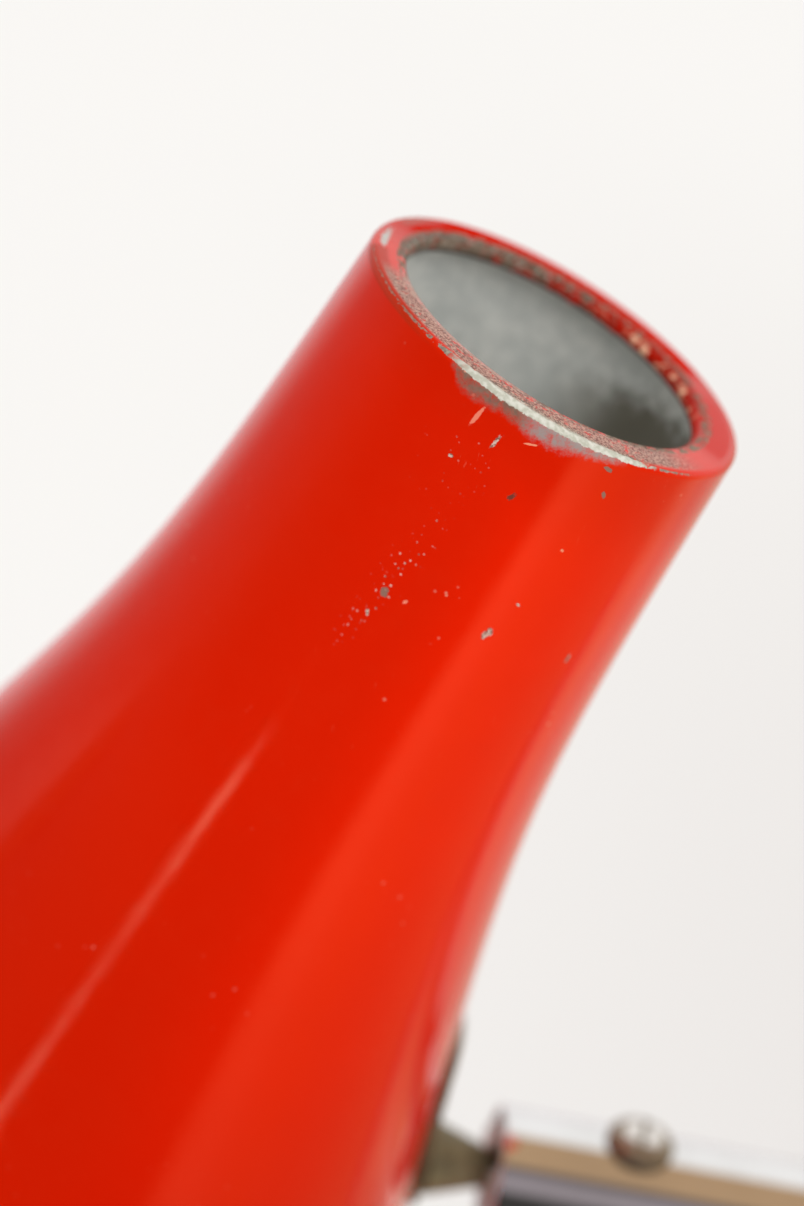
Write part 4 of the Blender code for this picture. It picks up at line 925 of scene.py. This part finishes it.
# ---- arm tube: straight, bend, column; chamfered mouth, open bore
bend_centre = (-BEND_R, 0, ARM_HEIGHT - BEND_R)


def arm_path(start, end, straight=40, bends=48, column=50):
    path = [(start + (-BEND_R - start) * k / straight, 0, ARM_HEIGHT) for k in range(straight)]
    for k in range(bends + 1):
        a = math.pi / 2 * (1 - k / bends)
        path.append((bend_centre[0] + BEND_R * math.cos(a), 0, bend_centre[2] + BEND_R * math.sin(a)))
    low = bend_centre[2]
    return path + [(0, 0, low + (end - low) * k / column) for k in range(1, column + 1)]


def tube_mesh(name, path, outer, inner, sides=72):
    pts = [Vector(p) for p in path]
    n = len(pts)
    rings = []
    chamfer = 0.3
    first_t = (pts[1] - pts[0]).normalized()
    last_t = (pts[-1] - pts[-2]).normalized()
    rings.append((pts[0], first_t, inner))
    rings.append((pts[0], first_t, inner + 0.15))
    rings.append((pts[0], first_t, outer - chamfer))
    rings.append((pts[0] + first_t * chamfer * 0.35, first_t, outer - chamfer * 0.35))
    rings.append((pts[0] + first_t * chamfer, first_t, outer))
    for i in range(1, n - 1):
        rings.append((pts[i], (pts[i + 1] - pts[i - 1]).normalized(), outer))
    rings.append((pts[-1] - last_t * chamfer, last_t, outer))
    rings.append((pts[-1], last_t, outer - chamfer))
    rings.append((pts[-1], last_t, inner))
    for i in range(n - 2, 0, -1):
        rings.append((pts[i], (pts[i + 1] - pts[i - 1]).normalized(), inner))
    verts, faces = [], []
    for at, t, r in rings:
        side = Vector((0, 1, 0))
        up = side.cross(t)
        for k in range(sides):
            a = math.tau * k / sides
            verts.append(at + (up * math.cos(a) + side * math.sin(a)) * r)
    m = len(rings)
    for i in range(m):
        j = (i + 1) % m
        for k in range(sides):
            q = (k + 1) % sides
            faces.append([i * sides + k, i * sides + q, j * sides + q, j * sides + k])
    return finish_mesh(name, verts, faces)


take(tube_mesh("arm_tube_fine", arm_path(TUBE_MOUTH_X, TUBE_FOOT_Z), TUBE_R, TUBE_R - TUBE_WALL), "arm_tube")

# ---- lampholder and bulb, finer and rounded
refine("holder_nipple_fine", [(4.9, -58), (4.9, -78), (3.6, -78), (3.6, -58)], AXIS, 48)
refine("holder_cap_fine", [(7.0, -66.3), (14.0, -68.5), (18.0, -74.0), (19.0, -80.0), (19.0, -90.0), (16.7, -90.0), (16.7, -80.5),
                           (13.0, -72.5), (5.2, -70.5), (5.2, -66.3)], AXIS, 96, soft=[0.5, 2, 2.5, 2, 0.4, 0.3, 1, 1, 0.3, 0.3])
refine("holder_skirt_fine", [(16.4, -83.0), (16.4, -90.3), (19.2, -90.3), (19.2, -95.0), (18.4, -98.0), (18.4, -118.0), (19.4, -122.0),
                             (17.0, -122.0), (14.9, -118.0), (14.9, -96.3), (16.0, -94.3), (16.0, -83.0)], AXIS, 96,
       soft=[0.2, 0.1, 0.5, 0.8, 0.8, 2.5, 0.5, 0.4, 0.8, 0.5, 0.3, 0.2])


def knurled(name, outer, inner, low, high, flutes, depth, where):
    """A ring with rounded flutes round its edge."""
    steps = flutes * 8
    verts, faces = [], []
    shape = [(inner, low), (inner, high), (outer - 0.9, high), (outer - 0.25, high - 0.3), (outer, high - 0.9), (outer, low + 0.9),
             (outer - 0.25, low + 0.3), (outer - 0.9, low)]
    for i in range(steps):
        a = math.tau * i / steps
        dip = depth * (0.5 - 0.5 * math.cos(a * flutes)) ** 3
        for r, z in shape:
            rr = r - dip * (1.0 if r > outer - 0.5 else 0.0)
            verts.append(where @ Vector((rr * math.cos(a), rr * math.sin(a), z)))
    m = len(shape)
    for i in range(steps):
        j = (i + 1) % steps
        for k in range(m):
            q = (k + 1) % m
            faces.append([i * m + k, j * m + k, j * m + q, i * m + q])
    return finish_mesh(name, verts, faces, sharp=50)


take(knurled("holder_ring_fine", 22.0, 18.7, -107.0, -100.0, 28, 0.55, AXIS), "holder_ring")
refine("thread_shell_fine", [(14.4, -94.6), (14.4, -98.5), (14.0, -101.5), (14.4, -104.5), (14.0, -107.5), (14.4, -110.5), (14.4, -116.0),
                             (13.9, -116.0), (13.9, -110.5), (13.5, -107.5), (13.9, -104.5), (13.5, -101.5), (13.9, -98.5), (13.9, -94.6)],
       AXIS, 96, soft=1.0)
refine("bulb_cap_fine", [(9.3, -101.3), (12.2, -103.0), (13.1, -106.5), (12.6, -109.5), (13.1, -112.5), (12.6, -115.5), (13.1, -118.5), (13.1, -124.0),
                         (13.4, -125.0), (12.7, -125.0), (12.4, -114.5), (12.0, -107.0), (9.3, -103.0)], AXIS, 96, soft=1.0)


def bulb_outline():
    outer = [(11.75, -107.0), (11.85, -115.0), (11.9, -122.0), (12.1, -125.5), (13.0, -129.0)]
    centre, radius = -161.0, 29.0
    for k in range(31):
        a = math.radians(62 - k * (62 + 90) / 30)
        outer.append((max(radius * math.cos(a), 0.0), centre + radius * math.sin(a)))
    outer[-1] = (0.0, centre - radius)
    smooth = fillet(outer[:7], 6.0, 5) + outer[7:]
    inner = []
    for r, z in reversed(smooth):
        n = Vector((r, z - centre)).normalized() if z < -140 else Vector((1.0, 0.0))
        inner.append((max(0.0, r - 0.8 * n.x), z - 0.8 * n.y))
    inner[0] = (0.0, centre - radius + 0.8)
    return smooth + inner


bulb = lathe("bulb_glass_fine", bulb_outline(), AXIS, 96, True)
take(bulb, "bulb_glass")

# ---- foot
washer_z = TOP + 3.6
collar_z = washer_z + 1.3
collar_frame = frame_at((0, 0, 0))
refine("thrust_washer_fine", [(15.7, washer_z + 1.0), (15.7, washer_z), (TUBE_R + 0.4, washer_z), (TUBE_R + 0.4, washer_z + 1.0)], collar_frame, 96, soft=0.15)
collar = lathe("column_collar_fine", fillet([(13.4, collar_z + 9.0), (15.2, collar_z + 7.4), (15.2, collar_z), (TUBE_R + 0.3, collar_z), (TUBE_R + 0.3, collar_z + 9.0)],
                                            [0.5, 0.8, 0.3, 0.2, 0.2], 4, True), collar_frame, 96)
grub_hole = lathe("collar_hole_cut", [(0, -4), (2.2, -4), (2.2, 4), (0, 4)], frame_at((15.0, 0, collar_z + 3.8), ALONG_X), 32, False)
cut(collar, grub_hole)
take(collar, "column_collar")
refine("column_bush_fine", [(17.4, TOP + 3.3), (18.2, TOP + 2.5), (18.2, TOP + GAP), (14.2, TOP + GAP), (14.2, 14.0), (TUBE_R + 0.25, 14.0),
                             (TUBE_R + 0.25, TOP + 3.3)],
       collar_frame, 96, soft=0.2)
cover = lathe("base_cover_fine",
              fillet([(0, TOP), (84.0, TOP), (95.0, TOP), (BASE_R, 1.8), (BASE_R - 1.2, 1.8), (BASE_R - 1.2, TOP - 1.2), (84.0, TOP - 1.2), (0, TOP - 1.2)],
                     [0, 0, 9.0, 0.3, 0.3, 7.9, 0, 0], 12, False), frame_at((BASE_X, 0, 0)), 224, False)
bush_hole = lathe("cover_bush_cut", [(0, -5), (14.5, -5), (14.5, 5), (0, 5)], frame_at((0, 0, TOP)), 64, False)
switch_hole = lathe("cover_switch_cut", [(0, -5), (6.3, -5), (6.3, 5), (0, 5)], frame_at((SWITCH_X, SWITCH_Y, TOP)), 48, False)
cable_hole = lathe("cover_cable_cut", [(0, -6), (4.4, -6), (4.4, 6), (0, 6)], frame_at((BASE_X + BASE_R, 0, 8.0), ALONG_X), 48, False)
for hole in (bush_hole, switch_hole, cable_hole):
    cut(cover, hole)
take(cover, "base_cover")

sw = frame_at((SWITCH_X, SWITCH_Y, 0))
take(knurled("switch_nut_fine", 9.2, 6.3, TOP + GAP, TOP + 2.0, 24, 0.35, sw), "switch_nut")
under = TOP - 1.2
refine("switch_body_fine", [(6.0, TOP + 1.2), (6.0, under - 2.0), (9.5, under - 2.3), (9.5, under - 14.5), (0, under - 14.5),
                            (0, under - 10.5), (4.3, under - 10.5), (4.3, TOP + 1.2)], sw, 64, False, soft=0.2)
refine("switch_button_fine", [(0, TOP + 5.0), (1.6, TOP + 4.9), (2.9, TOP + 4.4), (3.8, TOP + 3.4), (4.0, TOP + 2.6), (4.0, under - 5.5), (0, under - 5.5)],
       sw, 64, False, soft=0.5)
rear = BASE_X + BASE_R
refine("cable_grommet_fine", [(5.4, 2.6), (6.0, 2.0), (6.0, 0.3), (4.1, 0.3), (4.1, -1.9), (5.6, -1.9), (5.6, -3.4), (3.3, -3.4), (3.3, 2.6)],
       frame_at((rear + 0.1, 0, 8.0), ALONG_X), 56, soft=0.3)


def smooth_path(knots, per_span=6):
    knots = [Vector(k) for k in knots]
    padded = [knots[0] * 2 - knots[1], *knots, knots[-1] * 2 - knots[-2]]
    path = []
    for i in range(1, len(padded) - 2):
        a, b, c, d = padded[i - 1 : i + 3]
        for k in range(per_span):
            t = k / per_span
            path.append(0.5 * (2 * b + (c - a) * t + (2 * a - 5 * b + 4 * c - d) * t**2 + (3 * b - a - 3 * c + d) * t**3))
    return [*path, knots[-1]]


cable = [(2.0, 0, 7.6), (20, 0, 8.0), (rear, 0, 8.0), (rear + 16, 0, 6.6), (rear + 40, 6, 3.4), (rear + 85, 34, 3.4),
         (rear + 96, 86, 3.4), (rear + 55, 128, 3.4), (rear + 2, 140, 3.4), (rear - 30, 141, 5.5), (rear - 46, 141, 8.6), (rear - 56, 141, 9.0)]
take(sweep("mains_cable_fine", smooth_path(cable, 14), 2.9, 24), "mains_cable")
plug_x = rear - 58.5
plug_frame = frame_at((plug_x + 4.0, 141, 9.0), ALONG_X)
plug = lathe("plug_body_fine", fillet([(3.3, 0.0), (4.6, 0.0), (5.4, -3.0), (6.0, -5.0), (8.6, -9.0), (8.8, -30.0), (8.0, -31.0), (0, -31.0), (0, -2.0), (3.3, -2.0)],
                                      [0.2, 0.4, 1, 1, 1.5, 0.6, 0.4, 0, 0, 0.2], 4, True), plug_frame, 80)
ribs = [lathe(f"plug_rib_{k}", fillet([(8.0, -13.0 - 3 * k), (9.05, -12.6 - 3 * k), (9.05, -11.4 - 3 * k), (8.0, -11.0 - 3 * k)], 0.35, 4, True), plug_frame, 80)
        for k in range(5)]
take(join(plug, *ribs), "plug_body")
for side, name in ((-1, "plug_pin_a"), (1, "plug_pin_b")):
    refine(name + "_fine", [(0, -12.0), (1.5, -12.0), (1.95, -11.4), (1.95, 12.0), (0, 12.0)],
           frame_at((plug_x - 21.4 - 12.0, 141 + side * 4.6, 9.0), ALONG_X), 40, False, soft=0.3)

# ---- lampholder strap
LEG_LOW, LEG_HIGH, HOLDER_Z, STRAP_W, STRAP_T, STRAP_GAP = JOINT_DEPTH + 9.0, 84.0, -66.0, 8.0, 1.5, 0.8


def strap_point(u, v):
    across = (u - 0.5) * 2 * STRAP_W
    bend = 0.62
    lift = -(WALL + STRAP_GAP + STRAP_T / 2)
    top = on_shade(LEG_HIGH, across, lift)
    rise = STRAP_T / 2
    if v <= bend:
        return on_shade(LEG_LOW + (LEG_HIGH - LEG_LOW) * v / bend, across, lift)
    t = (v - bend) / (1 - bend)
    corner = in_shade(27.0, across, HOLDER_Z + rise)
    end = in_shade(-8.5, across, HOLDER_Z + rise)
    if t < 0.4:
        s = t / 0.4
        knee = in_shade(32.3 + rise, across, HOLDER_Z - 2.0 + rise)
        return (1 - s) ** 2 * top + 2 * s * (1 - s) * knee + s**2 * corner
    s = (t - 0.4) / 0.6
    return corner.lerp(end, s)


strap = grid("holder_bracket_fine", 90, 12, strap_point, STRAP_T, bevel=0.0)
cut(strap, lathe("strap_nipple_cut", [(0, -5), (5.2, -5), (5.2, 5), (0, 5)], AXIS @ Matrix.Translation((0, 0, HOLDER_Z)), 48, False))
cut(strap, lathe("strap_stud_cut", [(0, -10), (4.3, -10), (4.3, 10), (0, 10)], frame_at(JOINT, ALONG_X), 48, False))
edge = strap.modifiers.new("Edge", "BEVEL")
edge.width = 0.25 * MM
edge.segments = 3
edge.limit_method = "ANGLE"
edge.angle_limit = math.radians(50)
take(strap, "holder_bracket")

# ---- the rest keeps the CAD's own mesh, with rounded edges and its finish
for name, node in NODES.items():
    if node.hide_render:
        continue
    node.data.materials.clear()
    node.data.materials.append(material(*OWN[name]) if name in OWN else look(SLOTS[name]))
    for poly in node.data.polygons:
        poly.use_smooth = True
    weld = node.modifiers.new("Weld", "WELD")
    weld.merge_threshold = 2e-6
    bevel = node.modifiers.new("Edge", "BEVEL")
    bevel.width = 0.12 * MM
    bevel.segments = 2
    bevel.limit_method = "ANGLE"
    bevel.angle_limit = math.radians(38)
    bevel.harden_normals = False
    split = node.modifiers.new("Split", "EDGE_SPLIT")
    split.split_angle = math.radians(44)
    split.use_edge_sharp = False

# ---------------------------------------------------------------- floor
bpy.ops.mesh.primitive_circle_add(vertices=128, radius=7.0, fill_type="NGON", location=(0, 0, 0))
floor = bpy.context.object
floor.name = "floor"


def floor_look(net):
    p = net.mm()
    place = net.node("ShaderNodeSeparateXYZ", {0: p})
    # painted shadow: the floor darker over a broad area near the lamp
    near = net.smooth(net.out(place, "X"), -330.0, 60.0) * net.smooth(net.out(place, "Y"), 1700.0, 150.0)
    colour = net.mix(net.noise(p, 0.002, 3), (0.915, 0.908, 0.895), (0.935, 0.925, 0.912))
    colour = net.mix(near, colour, (0.81, 0.79, 0.78))
    return {"Base Color": colour, "Roughness": 0.9, "Specular IOR Level": 0.1}


floor.data.materials.append(material("floor", floor_look))
floor.visible_glossy = False
floor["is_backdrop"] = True

# ---------------------------------------------------------------- surroundings
world = bpy.data.worlds.new("studio")
scene.world = world
world.use_nodes = True
wn = Net(world.node_tree)
coords = wn.node("ShaderNodeTexCoord")
direction = wn.node("ShaderNodeSeparateXYZ", {0: wn.out(coords, "Generated")})
dx, dy, dz = (wn.out(direction, k) for k in "XYZ")
az = wn.math("ARCTAN2", dy, dx) * (180 / math.pi)
el = wn.math("ARCSINE", dz) * (180 / math.pi)
over = wn.math("ARCTAN2", dz, dy) * (180 / math.pi)  # 0 at +Y, 90 at the zenith, 180 at -Y

# what shiny surfaces see, above the horizon
white = (1.0, 0.995, 0.985)
tan = (0.50, 0.33, 0.19)
dark = (0.13, 0.11, 0.11)
violet = (0.33, 0.29, 0.31)
sky = wn.mix(wn.smooth(over, 68.0, 74.0), white, tan)
sky = wn.mix(wn.smooth(over, 126.0, 131.0), sky, dark)
sky = wn.mix(wn.smooth(over, 137.0, 142.0), sky, violet)
# and below it
around = (az + 180.0) / 360.0


def bearing(a):
    return (a + 180) / 360


low_g = wn.curve(around, [(0, 0.36), (bearing(-150), 0.05), (bearing(-72), 0.05), (bearing(-65), 1.75), (bearing(-59), 1.7), (bearing(-52), 1.2),
                          (bearing(-44), 0.95), (bearing(-30), 0.62), (bearing(-18), 0.54), (bearing(4), 0.50), (bearing(12), 0.75), (bearing(21), 0.9),
                          (bearing(31), 0.66), (bearing(62), 0.68), (bearing(75), 0.80), (bearing(118), 0.80), (bearing(140), 0.36), (1, 0.36)])
blue = wn.curve(around, [(0, 0.9), (bearing(-72), 0.95), (bearing(-60), 0.9), (bearing(-45), 0.55), (bearing(4), 0.5), (bearing(16), 0.62), (bearing(32), 0.8),
                         (bearing(62), 0.8), (bearing(76), 1.02), (bearing(118), 1.02), (1, 0.9)])
low = wn.out(wn.node("ShaderNodeCombineColor", {"Red": low_g * 1.05, "Green": low_g, "Blue": low_g * blue}))
seen = wn.mix(wn.smooth(el, 1.0, 7.0), low, sky)
# a narrow upright lamp
strip = wn.smooth(wn.math("ABSOLUTE", az + 120.0), 1.9, 0.5) * wn.smooth(el, -3.2, -1.6) * wn.smooth(el, 5.2, 3.4)
seen = wn.mix(strip, seen, (4.5, 11.0, 20.0))
spark = wn.smooth(wn.math("ABSOLUTE", az - 44.0), 5.0, 2.0) * wn.smooth(wn.math("ABSOLUTE", el + 38.2), 1.1, 0.4)
seen = wn.mix(spark, seen, (4.0, 4.0, 4.0))

# what lights the matt surfaces
lift = wn.linear(dz, -0.2, 1.0, 0.86, 1.02)
level = lift * (dx * 0.05 + dy * 0.04 + 1.06)
paths = wn.node("ShaderNodeLightPath")
soft = wn.node("ShaderNodeBackground", {"Color": (1.0, 0.99, 0.975), "Strength": level})
glossy = wn.node("ShaderNodeBackground", {"Color": seen, "Strength": 1.0})
backdrop = wn.node("ShaderNodeBackground", {"Color": (0.93, 0.925, 0.915), "Strength": 1.0})
shiny = wn.most(wn.out(paths, "Is Glossy Ray"), wn.out(paths, "Is Transmission Ray"))
a = wn.node("ShaderNodeMixShader")
wn.feed(a.inputs[0], shiny)
wn.feed(a.inputs[1], wn.out(soft))
wn.feed(a.inputs[2], wn.out(glossy))
b = wn.node("ShaderNodeMixShader")
wn.feed(b.inputs[0], wn.out(paths, "Is Camera Ray"))
wn.feed(b.inputs[1], wn.out(a))
wn.feed(b.inputs[2], wn.out(backdrop))
end = wn.node("ShaderNodeOutputWorld")
wn.feed(end.inputs[0], wn.out(b))

# a soft key from the right, on the object only
key_data = bpy.data.lights.new("key", "AREA")
key_data.shape = "DISK"
key_data.size = 0.34
key_data.energy = 0.9
key_data.color = (1.0, 0.985, 0.96)
key = bpy.data.objects.new("key", key_data)
scene.collection.objects.link(key)
key.location = (0.02, -0.36, 0.74)
key.rotation_mode = "QUATERNION"
key.rotation_quaternion = (in_shade(0, 0, -20) * MM - key.location).to_track_quat("-Z", "Y")
key.visible_glossy = False
key.visible_camera = False
lit = bpy.data.collections.new("lit")
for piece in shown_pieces():
    lit.objects.link(piece)
key.light_linking.receiver_collection = lit
key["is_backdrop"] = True

# ---------------------------------------------------------------- camera
cam_data = bpy.data.cameras.new("camera")
camera = bpy.data.objects.new("camera", cam_data)
scene.collection.objects.link(camera)
right, up, back = Vector((0.975, 0.0178, 0.2214)), Vector((-0.2018, 0.4871, 0.8497)), Vector((-0.0927, -0.8732, 0.4785))
camera.matrix_world = Matrix.Translation((RIM + Vector((-50.19, -356.64, 148.19))) * MM) @ Matrix((right, up, back)).transposed().to_4x4()
cam_data.sensor_width = 36.0
cam_data.lens = 80.72
cam_data.clip_start, cam_data.clip_end = 0.01, 100
scene.camera = camera

focus = bpy.data.objects.new("focus", None)
scene.collection.objects.link(focus)
a0 = math.radians(-106)
focus.location = in_shade(30 * math.cos(a0), 30 * math.sin(a0), -6.0) * MM
focus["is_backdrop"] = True
cam_data.dof.use_dof = True
cam_data.dof.focus_object = focus
driver = cam_data.dof.driver_add("aperture_fstop").driver
driver.type = "SCRIPTED"
reach = driver.variables.new()
reach.name = "d"
reach.type = "LOC_DIFF"
reach.targets[0].id = camera
reach.targets[1].id = focus
driver.expression = "6.6 if d < 0.5 else 64.0"

scene.view_settings.view_transform = "Standard"
scene.view_settings.look = "None"
